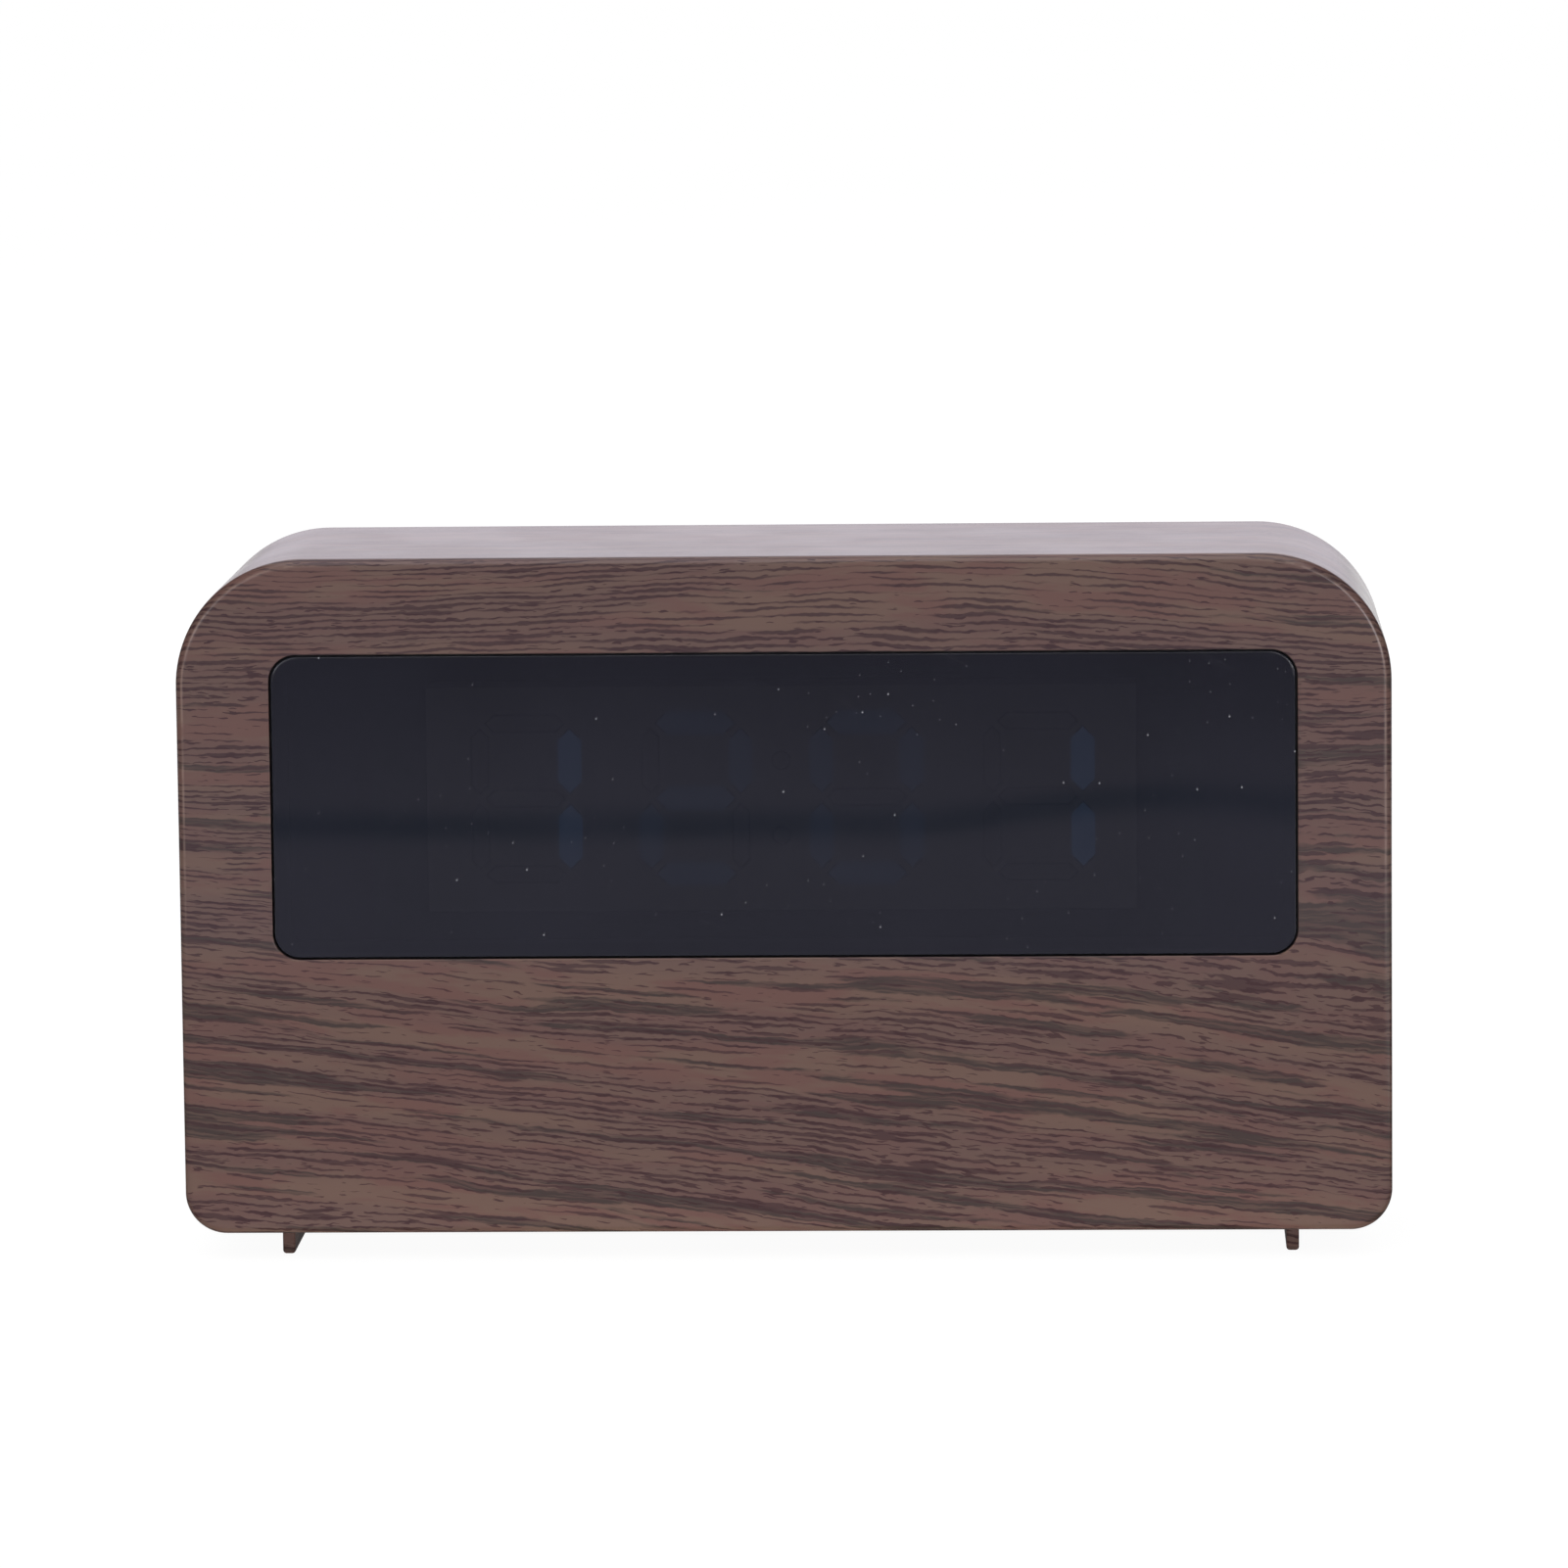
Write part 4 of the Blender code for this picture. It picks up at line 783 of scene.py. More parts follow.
def add_cube(bm, block):
    """A plain box. Gives back its points."""
    low, high = (Vector(corner) for corner in zip(*block))
    made = bmesh.ops.create_cube(bm, size=1.0)["verts"]
    bmesh.ops.scale(bm, verts=made, vec=high - low)
    bmesh.ops.translate(bm, verts=made, vec=(low + high) / 2)
    return made


def add_box(bm, block, edge, index=0):
    """A box with its edges rounded."""
    made = add_cube(bm, block)
    for vert in made:
        for face in vert.link_faces:
            face.material_index = index
    edges = list(dict.fromkeys(each for vert in made for each in vert.link_edges))
    bmesh.ops.bevel(
        bm, geom=edges, offset=edge, offset_type="OFFSET", segments=EDGE_STEPS, profile=0.5, affect="EDGES"
    )


def plain_blocks(name, blocks):
    bm = bmesh.new()
    for block in blocks:
        add_cube(bm, block)
    return closed_object(name, bm)


def ring_block(name, ring, y_span):
    """A block along y in a ring's outline."""
    bm = bmesh.new()
    loft(bm, [at_depth(ring, depth) for depth in y_span])
    return closed_object(name, bm)


def rounded_block(name, block, radius):
    x_span, y_span, z_span = block
    return ring_block(name, rounded_ring(x_span, z_span, radius, radius), y_span)


def rods(name, radius, y_span, places):
    bm = bmesh.new()
    for x, z in places:
        add_turned(bm, x, z, [(radius, depth) for depth in y_span])
    return closed_object(name, bm)


def combined(base, joins, cuts, edge):
    """The base with shapes joined on, then shapes cut away, and its sharp edges rounded."""
    for operation, tools in (("UNION", joins), ("DIFFERENCE", cuts)):
        for tool in tools:
            modifier = base.modifiers.new(tool.name, "BOOLEAN")
            modifier.operation = operation
            modifier.solver = "EXACT"
            modifier.object = tool
    rounding = base.modifiers.new("edges", "BEVEL")
    rounding.width = edge
    rounding.segments = BEVEL_STEPS
    rounding.limit_method = "ANGLE"
    rounding.angle_limit = BEVEL_ANGLE
    graph = bpy.context.evaluated_depsgraph_get()
    mesh = bpy.data.meshes.new_from_object(base.evaluated_get(graph))
    bm = bmesh.new()
    bm.from_mesh(mesh)
    bpy.data.meshes.remove(mesh)
    for helper in (base, *joins, *cuts):
        bpy.data.objects.remove(helper)
    return bm


# Case


def case_plan():
    """The case's outlines in order, each with its depth and material: 0 is the print and 1 bare plastic."""
    plan = [
        (window_ring(-WINDOW_EDGE - SUPPORT), front_face, 0),
        (case_ring(FRONT_FILLET + SUPPORT), front_face, 0),
    ]
    for inset, depth in quarter(FRONT_FILLET, FILLET_STEPS):
        plan.append((case_ring(inset), front_face + depth, 0))
    start = front_face + FRONT_FILLET + SUPPORT
    end = rim_face - REAR_FILLET - SUPPORT
    for step in range(SIDE_STEPS + 1):
        plan.append((case_ring(0.0), start + (end - start) * step / SIDE_STEPS, 0))
    for inset, depth in reversed(quarter(REAR_FILLET, EDGE_STEPS)):
        plan.append((case_ring(inset), rim_face - depth, 0))
    plan += [
        (case_ring(RIM_WALL), rim_face, 0),
        (case_ring(RIM_WALL), SHOULDER_DEPTH, 1),
        (case_ring(CASE_WALL), SHOULDER_DEPTH, 1),
        (case_ring(CASE_WALL), front_face + CASE_WALL, 1),
        (window_ring(-WINDOW_FRAME_WIDTH), front_face + CASE_WALL, 1),
        (window_ring(-WINDOW_FRAME_WIDTH), ledge_back, 1),
        (window_ring(LEDGE_WIDTH), ledge_back, 1),
        (window_ring(LEDGE_WIDTH), ledge_front, 1),
        (window_ring(0.0), ledge_front, 1),
    ]
    for inset, depth in reversed(quarter(WINDOW_EDGE, EDGE_STEPS)):
        plan.append((window_ring(-inset), front_face + depth, int(inset == 0)))
    return plan


def make_case():
    """The shell. Each point keeps its place in the print, as if the case were unfolded to the front."""
    bm = bmesh.new()
    grain = bm.verts.layers.float_vector.new("grain")
    painted_highlight = bm.verts.layers.float.new("painted_highlight")
    rings = []
    for number, (ring, depth, index) in enumerate(case_plan()):
        verts = [bm.verts.new(point) for point in at_depth(ring, depth)]
        on_side = index == 0 and depth > front_face + 2 * WINDOW_EDGE
        reach = depth - front_face if on_side else 0.0
        for vert, (_, out) in zip(verts, ring):
            # Painted highlight: marks the one fillet ring along which the pale line is painted
            vert[painted_highlight] = float(number == PAINTED_HIGHLIGHT_RING)
            vert[grain] = (vert.co.x + out.x * reach, vert.co.z + out.y * reach, depth)
        rings.append((verts, index))
    for (first, _), (second, index) in zip(rings, rings[1:] + rings[:1]):
        bridge(bm, first, second, index)
    add_feet(bm, grain)
    add_bosses(bm)
    finished("case_shell", bm, "clock", ("wood_print", "black_plastic"), "front_case")


def add_feet(bm, grain):
    front = front_face + FOOT_SETBACK
    foot_z = (0.0, FOOT_HEIGHT + CASE_WALL / 2)
    for side in (-1, 1):
        foot_x = about(side * (case_x[1] - FOOT_INSET - FOOT_THICKNESS / 2), FOOT_THICKNESS)
        before = set(bm.verts)
        add_box(bm, (foot_x, (front, front + FOOT_LENGTH), foot_z), FOOT_FILLET)
        for vert in set(bm.verts) - before:
            reach = vert.co.y - front_face
            vert[grain] = (vert.co.x + side * reach, vert.co.z + FOOT_LENGTH, reach)


def add_bosses(bm):
    """Posts from the front wall, each with a blind hole, and a web from each cover screw's post."""
    wall = CASE_WALL / 2
    start = front_face + wall
    end = pad_foot - GAP
    for x, z in cover_screws:
        add_boss(bm, x, z, (start, end), CASE_BOSS_RADIUS, SCREW_RADIUS + GAP, CASE_PILOT_DEPTH)
        side = math.copysign(1, x)
        web_x = sorted((x + side * WEB_START, side * (case_x[1] - wall)))
        add_box(bm, (web_x, (start, end - WEB_SHORTER), about(z, WEB_THICKNESS)), WEB_EDGE, 1)
    for x, z in display_screws:
        add_boss(bm, x, z, (start, housing_y[1]), POST_RADIUS, BOARD_SCREW_RADIUS + GAP, PILOT_DEPTH)


def add_boss(bm, x, z, y_span, radius, hole, hole_depth):
    start, end = y_span
    profile = ((radius, start), (radius, end), (hole, end), (hole, end - hole_depth))
    add_turned(bm, x, z, profile, POST_SIDES, 1)


# Lens and digits


def make_lens():
    front, back = lens_y
    plan = [(LENS_BEVEL + SUPPORT, front)]
    plan += [(inset, front + depth) for inset, depth in quarter(LENS_BEVEL, EDGE_STEPS)]
    plan += [(0.0, back - LENS_BACK_BEVEL), (LENS_BACK_BEVEL, back)]
    bm = bmesh.new()
    loft(bm, [at_depth(window_ring(GAP + inset), depth) for inset, depth in plan])
    finished("lens", bm, "clock", ("tinted_acrylic",), "display_lens")


# Where each segment lies, in half digits across and up, and whether it stands
SEGMENTS = {
    "top": (0, 1, False),
    "middle": (0, 0, False),
    "bottom": (0, -1, False),
    "upper_left": (-1, 0.5, True),
    "upper_right": (1, 0.5, True),
    "lower_left": (-1, -0.5, True),
    "lower_right": (1, -0.5, True),
}
SHOWN = {
    "1": ("upper_right", "lower_right"),
    "2": ("top", "upper_right", "middle", "lower_left", "bottom"),
    "0": ("top", "upper_left", "upper_right", "lower_left", "lower_right", "bottom"),
}
GLOW = {"1": 0.40, "2": 0.15, "0": 0.15}


def bar_outline(x, z, length, upright):
    """A segment with pointed ends, lying or standing, about its middle."""
    half, side = length / 2, GLOW_WIDTH / 2
    near = half - side
    points = [(-half, 0.0), (-near, -side), (near, -side), (half, 0.0), (near, side), (-near, side)]
    if upright:
        points = [(-across, along) for along, across in points]
    return [(x + across, z + up) for across, up in points]


def make_lit_segments():
    """Thin plates of light just in front of the digits' filled segments."""
    bm = bmesh.new()
    glow = bm.verts.layers.float.new("glow")
    display_x, display_z = middle("display_housing")
    front = housing_y[0] - LIT_PROUD
    depths = (front, front + LIT_THICKNESS)
    for digit, digit_x in zip(TIME, row(display_x, len(TIME), DIGIT_PITCH)):
        for across, up, upright in (SEGMENTS[name] for name in SHOWN[digit]):
            x = digit_x + across * DIGIT_WIDTH / 2
            z = display_z + up * DIGIT_HEIGHT / 2
            length = (DIGIT_HEIGHT / 2 if upright else DIGIT_WIDTH) - SEGMENT_ENDS
            outline = bar_outline(x, z, length, upright)
            before = set(bm.verts)
            loft(bm, [[(side, depth, up) for side, up in outline] for depth in depths])
            for vert in set(bm.verts) - before:
                vert[glow] = GLOW[digit]
    finished("lit_segments", bm, "clock", ("lit_resin",), slot="milky_resin")


# Rear cover and door


def make_cover():
    base = ring_block("cover_plate", case_ring(RIM_WALL + GAP), (cover_back, cover_face))
    tray = (grown(bay_x, TRAY_WALL), (cover_front, plate_middle), grown(bay_z, TRAY_WALL))
    joins = [
        plain_blocks("tray", [tray]),
        rods("pads", COVER_PAD_RADIUS, (pad_foot, plate_middle), cover_screws),
        rods("posts", POST_RADIUS, (board_back + GAP, plate_middle), board_screws),
    ]

    through = (cover_back - OVERRUN, beyond)
    recess = (recess_x, (cover_face - DOOR_THICKNESS - GAP, beyond), (bay_bottom, recess_top))
    hook_y = (door_y[0] - HOOK_ROOM, door_y[0] + HOOK_THICKNESS + GAP)
    hook_z = (door_z[0] - GAP, bay_bottom + OVERRUN)
    hook_slots = [(about(x, HOOK_WIDTH + 2 * GAP), hook_y, hook_z) for x in hook_middles]
    thumb_z = (recess_top - OVERRUN, recess_top + THUMB_HEIGHT)
    thumb = (about(0.0, THUMB_WIDTH), (cover_face - THUMB_DEPTH, beyond), thumb_z)
    tab_y = (cover_front - OVERRUN, tray_floor + OVERRUN / 2)
    tabs = [middle("contact_negative"), middle("contact_positive")]
    tab_slots = [(about(x, TAB_SLOT_THICKNESS), tab_y, about(z, TAB_SLOT_WIDTH)) for x, z in tabs]
    cuts = [
        plain_blocks("bay", [(bay_x, (tray_floor, beyond), bay_z)]),
        rounded_block("door_recess", recess, DOOR_RADIUS),
        plain_blocks("hook_slots", hook_slots),
        rounded_block("thumb", thumb, DOOR_RADIUS),
        rods("head_holes", HEAD_RADIUS + GAP, (screw_seat - GAP, beyond), cover_screws),
        rods("screw_holes", SCREW_RADIUS + GAP, (pad_foot - OVERRUN, beyond), cover_screws),
        rods("button_holes", BUTTON_RADIUS + GAP, through, button_middles),
        rods("pilots", BOARD_SCREW_RADIUS + GAP, (board_back, board_back + PILOT_DEPTH), board_screws),
        rounded_block("usb_hole", (grown(usb_x, GAP), through, grown(usb_z, GAP)), usb_radius + GAP),
        plain_blocks("tab_slots", tab_slots),
    ]
    buzzer_x, buzzer_z = middle("buzzer")
    for x in row(buzzer_x, SOUND_SLOTS, SOUND_SLOT_PITCH):
        slot = (about(x, SOUND_SLOT_WIDTH), through, about(buzzer_z, SOUND_SLOT_LENGTH))
        cuts.append(rounded_block("sound_slot", slot, SOUND_SLOT_WIDTH / 2 - HAIR))
    bm = combined(base, joins, cuts, MOULDED_EDGE)

    # Ribs between the cells, over the middle half of the bay
    rib_x = about(0.0, bay_x[1])
    rib_y = (tray_floor - TRAY_WALL / 2, tray_floor + RIB_HEIGHT)
    for number in range(1, CELL_COUNT):
        add_box(bm, (rib_x, rib_y, about(bay_bottom + number * CELL_PITCH, RIB_WIDTH)), RIB_EDGE)
    finished("cover_moulding", bm, "clock", ("black_plastic",), "rear_cover")


def make_door():
    plate_back = cover_face - DOOR_THICKNESS
    plate = (door_x, (plate_back, cover_face), (bay_bottom + GAP, door_z[1]))
    base = rounded_block("door_plate", plate, DOOR_RADIUS - GAP)
    hook_y = (door_y[0], door_y[0] + HOOK_THICKNESS)
    hook_z = (door_z[0], bay_bottom + HOOK_ROOT)
    hooks = plain_blocks("hooks", [(about(x, HOOK_WIDTH), hook_y, hook_z) for x in hook_middles])
    slot_y = (plate_back - OVERRUN, beyond)
    slot_z = (recess_top - TONGUE_LENGTH, recess_top + OVERRUN)
    slots = [(about(x, TONGUE_SLOT), slot_y, slot_z) for x in row(0.0, 2, TONGUE_WIDTH)]
    cuts = [plain_blocks("tongue_slots", slots)]
    for number in range(1, GRIPS + 1):
        grip_z = about(recess_top - number * GRIP_PITCH, GRIP_WIDTH)
        grip = (about(0.0, GRIP_LENGTH), (cover_face - GRIP_DEPTH, beyond), grip_z)
        cuts.append(rounded_block("grip", grip, GRIP_WIDTH / 2 - HAIR))
    bm = combined(base, [hooks], cuts, MOULDED_EDGE)
    finished("door_moulding", bm, "door", ("black_plastic",), "battery_door")


# Buttons, screws and socket


def make_buttons():
    flange_top = cover_back - GAP
    flange_foot = flange_top - FLANGE_THICKNESS
    for name, (x, z) in zip(BUTTONS, button_middles):
        (_, right), (foot, top), _ = spans("button_" + name)
        flange = right - x
        profile = [(POINT, top)]
        for step in range(1, CROWN_STEPS):
            share = step / CROWN_STEPS
            profile.append((share * (BUTTON_RADIUS - BUTTON_EDGE), top - BUTTON_CROWN * share**2))
        for inset, depth in quarter(BUTTON_EDGE, ROUND_STEPS):
            profile.append((BUTTON_RADIUS - inset, top - BUTTON_CROWN - depth))
        profile += [
            (BUTTON_RADIUS, flange_top),
            (flange - FLANGE_EDGE, flange_top),
            (flange, flange_top - FLANGE_EDGE),
            (flange, flange_foot + FLANGE_EDGE),
            (flange - FLANGE_EDGE, flange_foot),
            (STEM_RADIUS, flange_foot),
            (STEM_RADIUS, foot),
        ]
        bm = bmesh.new()
        add_turned(bm, x, z, profile)
        finished(f"{name}_cap", bm, f"{name}_button", ("button_grey",), "button_" + name)


def make_cover_screws():
    for number, (x, z) in enumerate(cover_screws, 1):
        node = f"cover_screw_{number}"
        (_, right), (tip, top), _ = spans(node)
        head = right - x
        profile = [(POINT, top)]
        for share in HEAD_SHARES:
            profile.append((share * (head - HEAD_FLAT_INSET), top - HEAD_CROWN * share**2))
        for inset, depth in quarter(HEAD_EDGE, ROUND_STEPS):
            profile.append((head - inset, top - HEAD_SHOULDER - depth))
        profile += [
            (head, screw_seat),
            (SCREW_RADIUS, screw_seat),
            (SCREW_RADIUS, tip + SCREW_RADIUS),
            (POINT, tip),
        ]
        bm = bmesh.new()
        add_turned(bm, x, z, profile)
        base = closed_object("screw", bm)
        cross_y = (top - CROSS_DEPTH, top + OVERRUN)
        cross = []
        for across, up in (CROSS_SHARES, CROSS_SHARES[::-1]):
            slot = (about(x, across * 2 * head), cross_y, about(z, up * 2 * head))
            cross.append(plain_blocks("cross_slot", [slot]))
        bm = combined(base, [], cross, CROSS_EDGE)
        finished(f"cover_screw_steel_{number}", bm, "clock", ("black_screw",), node)


def make_usb():
    x, z = middle("usb_socket")
    inner_end, mouth = usb_y
    cavity_end = mouth - USB_CAVITY_DEPTH
    plan = [
        (0.0, inner_end),
        (0.0, mouth - USB_EDGE),
        (USB_EDGE, mouth),
        (USB_SHELL - USB_EDGE, mouth),
        (USB_SHELL, mouth - USB_EDGE),
        (USB_SHELL, cavity_end),
    ]
    outline = (usb_x, usb_z, usb_radius, usb_radius)
    bm = bmesh.new()
    loft(bm, [at_depth(inset_ring(*outline, inset), depth) for inset, depth in plan], ends=(0, 1))
    tongue_y = (cavity_end - OVERRUN, mouth - USB_TONGUE_SUNK)
    tongue_z = about(z, USB_TONGUE_THICKNESS)
    add_box(bm, (about(x, USB_TONGUE_WIDTH), tongue_y, tongue_z), USB_EDGE, 1)
    contact_y = (cavity_end, mouth - USB_CONTACT_SUNK)
    for contact_x in row(x, USB_CONTACTS, USB_CONTACT_PITCH):
        for face in tongue_z:
            contact = (about(contact_x, USB_CONTACT_WIDTH), contact_y, about(face, USB_CONTACT_THICKNESS))
            add_box(bm, contact, USB_CONTACT_EDGE, 2)
    looks = ("bright_metal", "component_black", "contact_nickel")
    finished("usb_shell", bm, "clock", looks, "usb_socket")


# Battery cells and springs


def cell_profile(radius, length):
    """(radius, reach, material) from the steel nub to the steel base, in a sleeve with a paler band."""
    sleeve, steel, washer, band = range(4)
    nub_foot, washer_face = NUB_LENGTH + CAP_RISE, NUB_LENGTH + WASHER_RISE
    profile = [(POINT, 0.0, steel)]
    profile += [(NUB_RADIUS - inset, depth, steel) for inset, depth in quarter(NUB_EDGE, NUB_EDGE_STEPS)]
    profile += [(NUB_RADIUS, nub_foot, steel), (CAP_RADIUS, nub_foot, steel)]
    profile += [(size, washer_face, washer) for size in WASHER_RADII]
    profile.append((CRIMP_RADIUS, NUB_LENGTH, band))
    rounding = quarter(CELL_EDGE, ROUND_STEPS)
    profile += [(radius - inset, NUB_LENGTH + depth, band) for inset, depth in rounding]
    profile.append((radius, NUB_LENGTH + CELL_BAND, band))
    profile += [(radius - inset, length - depth, sleeve) for inset, depth in reversed(rounding)]
    rim, groove_outer, groove_inner, base = BASE_RADII
    profile += [
        (rim, length, sleeve),
        (groove_outer, length - BASE_GROOVE, steel),
        (groove_inner, length - BASE_GROOVE, steel),
        (base, length - BASE_SUNK, steel),
        (POINT, length - BASE_SUNK, steel),
    ]
    return profile, steel


def make_cells():
    looks = ("cell_sleeve", "bright_metal", "component_black", "cell_band")
    for number in range(1, CELL_COUNT + 1):
        node = f"battery_cell_{number}"
        (left, right), y_span, z_span = spans(node)
        y, z = sum(y_span) / 2, sum(z_span) / 2
        profile, steel = cell_profile((z_span[1] - z_span[0]) / 2, right - left)
        # The odd cells have their nub on the right
        start, way = (right, -1) if number % 2 else (left, 1)
        rings = [
            [(start + way * reach, y + size * back, z + size * up) for back, up in circle(ROUND_SIDES)]
            for size, reach, _ in profile
        ]
        bm = bmesh.new()
        loft(bm, rings, [index for _, _, index in profile[1:]], (steel, steel))
        finished(f"cell_in_sleeve_{number}", bm, "clock", looks, node)


def make_springs():
    """A cone of wire behind each cell, with a flat half turn at both ends."""
    axis = Vector((1.0, 0.0, 0.0))
    for number in range(1, CELL_COUNT + 1):
        node = f"battery_spring_{number}"
        left, right = spans(node)[0]
        _, y_span, z_span = spans(f"battery_cell_{number}")
        y, z = sum(y_span) / 2, sum(z_span) / 2
        start, way = (left, 1) if number % 2 else (right, -1)
        travel = right - left - 2 * SPRING_WIRE
        rings = []
        for step in range(SPRING_STEPS + 1):
            turns = SPRING_TURNS * step / SPRING_STEPS
            rise = (turns - SPRING_FLAT_TURNS) / (SPRING_TURNS - 2 * SPRING_FLAT_TURNS)
            rise = min(max(rise, 0.0), 1.0)
            radius = SPRING_WIDE + (SPRING_NARROW - SPRING_WIDE) * rise
            out = Vector((0.0, math.cos(2 * math.pi * turns), math.sin(2 * math.pi * turns)))
            core = Vector((start + way * (SPRING_WIRE + travel * rise), y, z)) + radius * out
            around = [a * out + b * axis for a, b in circle(SPRING_SIDES)]
            rings.append([core + SPRING_WIRE * way_out for way_out in around])
        bm = bmesh.new()
        loft(bm, rings)
        finished(f"spring_coil_{number}", bm, "clock", ("contact_nickel",), node)


make_case()
make_lens()
make_lit_segments()
make_cover()
make_door()
make_buttons()
make_cover_screws()
make_usb()
make_cells()
make_springs()


# Floor and backdrop

FLOOR_RADIUS = 6.0
FLOOR_RINGS = 24
FLOOR_SIDES = 64
SHADOW_GREYS = ((0.08, 0.08, 0.08), (0.09, 0.09, 0.09))


def ray_kinds(tree):
    """1 for what is looked at straight or through the lens, and 1 for what is seen in a reflection."""
    rays = tree.nodes.new("ShaderNodeLightPath")
    looked_at = maths("MAXIMUM", rays.outputs["Is Camera Ray"], rays.outputs["Is Transmission Ray"])
    return looked_at, rays.outputs["Is Glossy Ray"]


def stage_material(obj):
    """The tree of an object's new material, still without a shader, and the place of its points."""
    made = bpy.data.materials.new(obj.name)
    made.use_nodes = True
    made.node_tree.nodes.clear()
    obj.data.materials.append(made)
    return made.node_tree, place(made.node_tree)


def shader_node(kind, **inputs):
    return add_node(kind, inputs).outputs[0]


def added(first, second):
    return add_node("AddShader", {0: first, 1: second}).outputs[0]


def mixed(factor, first, second):
    return add_node("MixShader", {0: factor, 1: first, 2: second}).outputs[0]


def make_floor():
    """A round floor that lights the clock evenly and shows white, but for the clock's shadow."""
    bm = bmesh.new()
    rings = []
    for step in range(1, FLOOR_RINGS + 1):
        radius = FLOOR_RADIUS * (step / FLOOR_RINGS) ** 2
        rings.append([bm.verts.new((radius * x, radius * y, 0.0)) for x, y in circle(FLOOR_SIDES)])
    for inner, outer in zip(rings, rings[1:]):
        bridge(bm, outer, inner)
    bm.faces.new(rings[0])
    floor = new_object("floor", bm)
    tree, where = stage_material(floor)
    x, y, _ = split(where)
    looked_at, reflected = ray_kinds(tree)

    grey = sideways(x, 0.12, 0.5, 0.72, 0.3)
    # Under the clock the floor glows for bounced light only, and lights the feet and the bottom from below
    under = times(sideways(x, 0.08, 0.1, 1.0, 0.0), sideways(y, 0.03, 0.045, 1.0, 0.0))
    lit = shader_node("BsdfDiffuse", Color=joined(grey, grey, grey))
    lighting = added(lit, shader_node("Emission", Strength=under))

    behind = times(ramp(y, 0.12, 0.3), sideways(x, 0.3, 0.6, 1.0, 0.0))
    white = shader_node("Emission", Strength=choice(reflected, 0.95, choice(behind, 0.08, 1.35)))
    shadow = shader_node("BsdfDiffuse", Color=blend(noise(where, 3.0), *SHADOW_GREYS))
    surface = mixed(maths("MAXIMUM", looked_at, reflected), lighting, added(white, shadow))

    # From below, the floor isn't in the way
    clear = tree.nodes.new("ShaderNodeBsdfTransparent").outputs[0]
    below = tree.nodes.new("ShaderNodeNewGeometry").outputs["Backfacing"]
    add_node("OutputMaterial", {0: mixed(below, surface, clear)})


def make_reflector(name, corners, columns, rows, colour_of):
    """A board that only reflections see, spread over three corners: first, across and up."""
    bm = bmesh.new()
    first, across, up = (Vector(corner) for corner in corners)
    grid = []
    for step in range(rows + 1):
        start = first + (up - first) * step / rows
        grid.append([bm.verts.new(start + (across - first) * col / columns) for col in range(columns + 1)])
    for near, far in zip(grid, grid[1:]):
        for col in range(columns):
            bm.faces.new((near[col], near[col + 1], far[col + 1], far[col]))
    board = new_object(name, bm)
    where = stage_material(board)[1]
    add_node("OutputMaterial", {0: shader_node("Emission", Color=colour_of(where))})
    for rays in ("camera", "diffuse", "shadow", "transmission"):
        setattr(board, "visible_" + rays, False)


NEAR_FLOOR = (0.46, 0.46, 0.59)
FAR_FLOOR = (0.205, 0.205, 0.262)
BAND_BLUE = (0.14, 0.205, 0.30)
RIGHT_LIGHT = (1.5, 1.5, 1.55)
LEFT_LIGHT = (0.8, 0.8, 0.83)
SIDE_DARK = (0.05, 0.05, 0.05)


def floor_colour(where):
    """Darker further off, with a dark wavy band across it."""
    x, y, _ = split(where)
    reach = times(y, -1.0)
    colour = blend(ramp(reach, 0.44, 0.86), NEAR_FLOOR, FAR_FLOOR)
    band = minus(ramp(x, 0.0, 0.06, 0.505, 0.545), ramp(x, 0.06, 0.09, 0.0, 0.013))
    band = shifted(band, noise(joined(x, 0.0), 22.0, 1.0), 0.012)
    off = maths("ABSOLUTE", minus(reach, band))
    colour = blend(ramp(off, 0.004, 0.034, 1.0, 0.0), colour, BAND_BLUE)
    # Light to both sides, then dark further out
    colour = blend(ramp(x, 0.16, 0.24), colour, RIGHT_LIGHT)
    colour = blend(ramp(x, -0.21, -0.29), colour, LEFT_LIGHT)
    return blend(sideways(x, 0.34, 0.5, 0.0, 1.0), colour, SIDE_DARK)


def wall_colour(where):
    """A ring of light round the camera, stronger on the right, and more light above."""
    x, _, z = split(where)
    up = plus(times(z, 0.5), 0.09)
    out = times(x, 0.5)
    off = maths("SQRT", plus(times(up, up), times(out, out)))
    ring = times(
        ramp(off, 0.18, 0.36),
        ramp(off, 0.5, 0.85, 1.0, 0.0),
        ramp(x, -0.3, 0.3, 2.6, 6.0),
        sideways(x, 0.1, 0.5, 0.25, 1.0),
        ramp(up, 0.26, 0.34, 1.0, 0.0),
    )
    above = times(ramp(up, 0.55, 0.9), sideways(minus(out, 0.1), 0.2, 0.4, 1.6, 0.0))
    light = plus(maths("MAXIMUM", ring, above), sideways(out, 0.3, 0.6, 0.25, 0.06))
    return joined(light, light, times(light, 1.05))


FLOOR_CARD = ((-0.9, -0.03, MM), (0.9, -0.03, MM), (-0.9, -1.35, MM))
WALL_CARD = ((-2.2, -2.0, 0.0), (2.2, -2.0, 0.0), (-2.2, -2.0, 2.0))

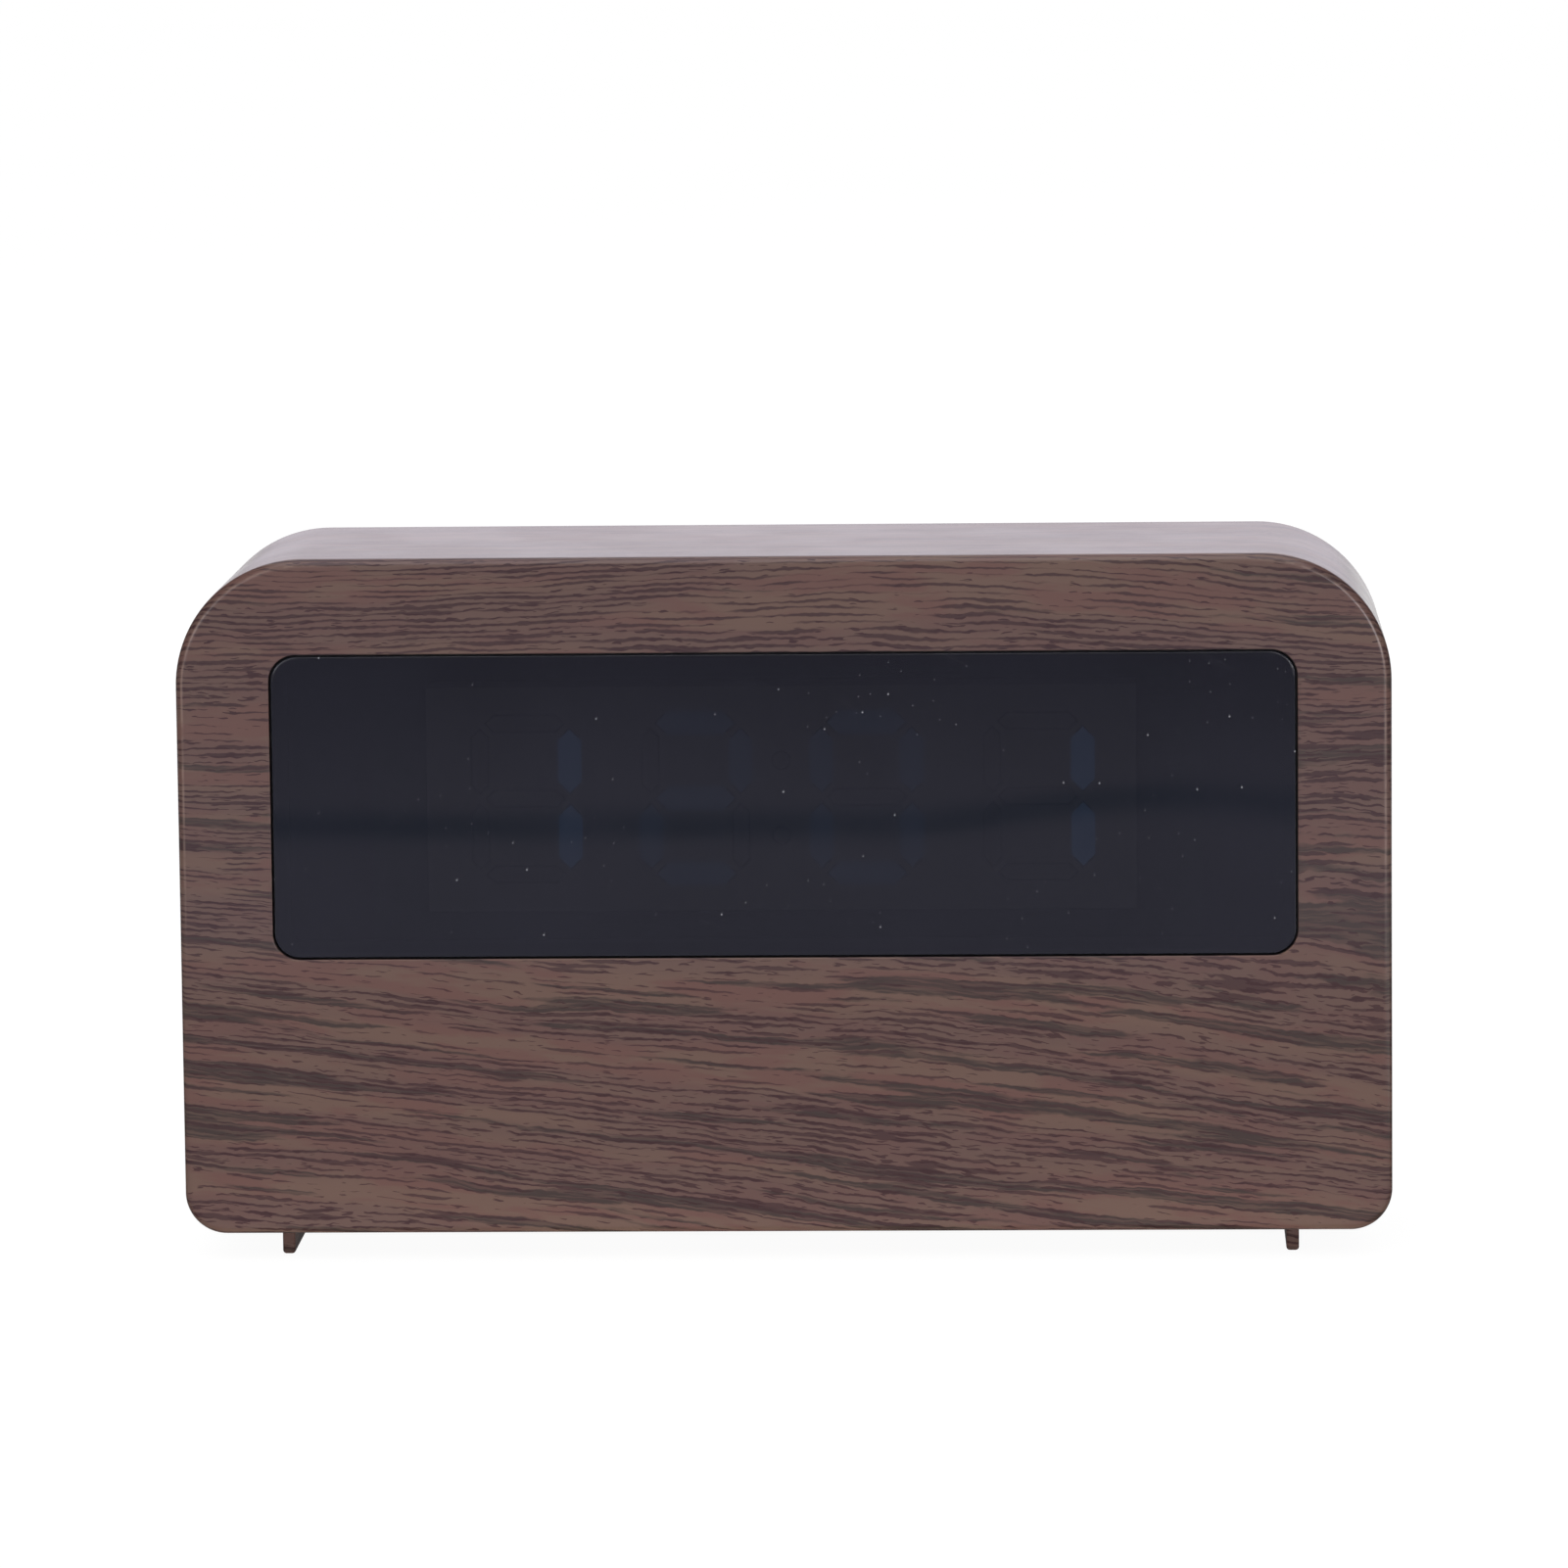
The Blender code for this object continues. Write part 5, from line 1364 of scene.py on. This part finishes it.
make_floor()
make_reflector("floor_card", FLOOR_CARD, 18, 14, floor_colour)
make_reflector("wall_card", WALL_CARD, 8, 8, wall_colour)


# Light and camera

# Each lamp's place, width and height, and power
LAMPS = {
    "key": ((-0.5, -1.4, 1.1), (1.2, 0.9), 12.6),
    "fill": ((0.7, -1.2, 0.9), (1.0, 0.9), 4.6),
    "back": ((0.1, 1.2, 1.2), (1.4, 0.8), 8.0),
}
LAMP_AIM = Vector((0.0, 0.0, 0.05))
CAMERA_PLACE = (0.0482, -1.2412, 0.2300)
CAMERA_DEGREES = (82.6013, 0.6031, 2.1815)
# In millimetres, as cameras have them
SENSOR_WIDTH = 36.0
FOCAL_LENGTH = 190.5


def make_world():
    world = bpy.data.worlds.new("studio")
    bpy.context.scene.world = world
    world.use_nodes = True
    tree = world.node_tree
    x, y, _ = split(tree.nodes.new("ShaderNodeTexCoord").outputs["Generated"])
    looked_at, reflected = ray_kinds(tree)
    light = sideways(x, 0.5, 0.9, 0.66, 0.28)
    mirrored = times(sideways(x, 0.26, 0.42, 1.0, 0.06), ramp(y, -0.3, 0.2, 1.9, 1.0))
    dress(tree.nodes["Background"], {
        "Strength": choice(looked_at, choice(reflected, light, mirrored), 1.0),
        "Color": blend(reflected, (1.0, 1.0, 1.0), (0.98, 0.93, 1.02)),
    })


def make_lamp(name, at, size, power):
    data = bpy.data.lights.new(name, "AREA")
    data.shape = "RECTANGLE"
    data.size, data.size_y = size
    data.energy = power
    lamp = link(bpy.data.objects.new(name, data))
    lamp.location = at
    lamp.rotation_euler = (LAMP_AIM - Vector(at)).to_track_quat("-Z", "Y").to_euler()
    lamp.visible_glossy = False


def make_camera():
    data = bpy.data.cameras.new("camera")
    data.sensor_width = SENSOR_WIDTH
    data.lens = FOCAL_LENGTH
    camera = link(bpy.data.objects.new("camera", data))
    camera.location = CAMERA_PLACE
    camera.rotation_euler = [math.radians(degrees) for degrees in CAMERA_DEGREES]
    bpy.context.scene.camera = camera


make_world()
for name, settings in LAMPS.items():
    make_lamp(name, *settings)
make_camera()
bpy.context.scene.view_settings.view_transform = "Standard"
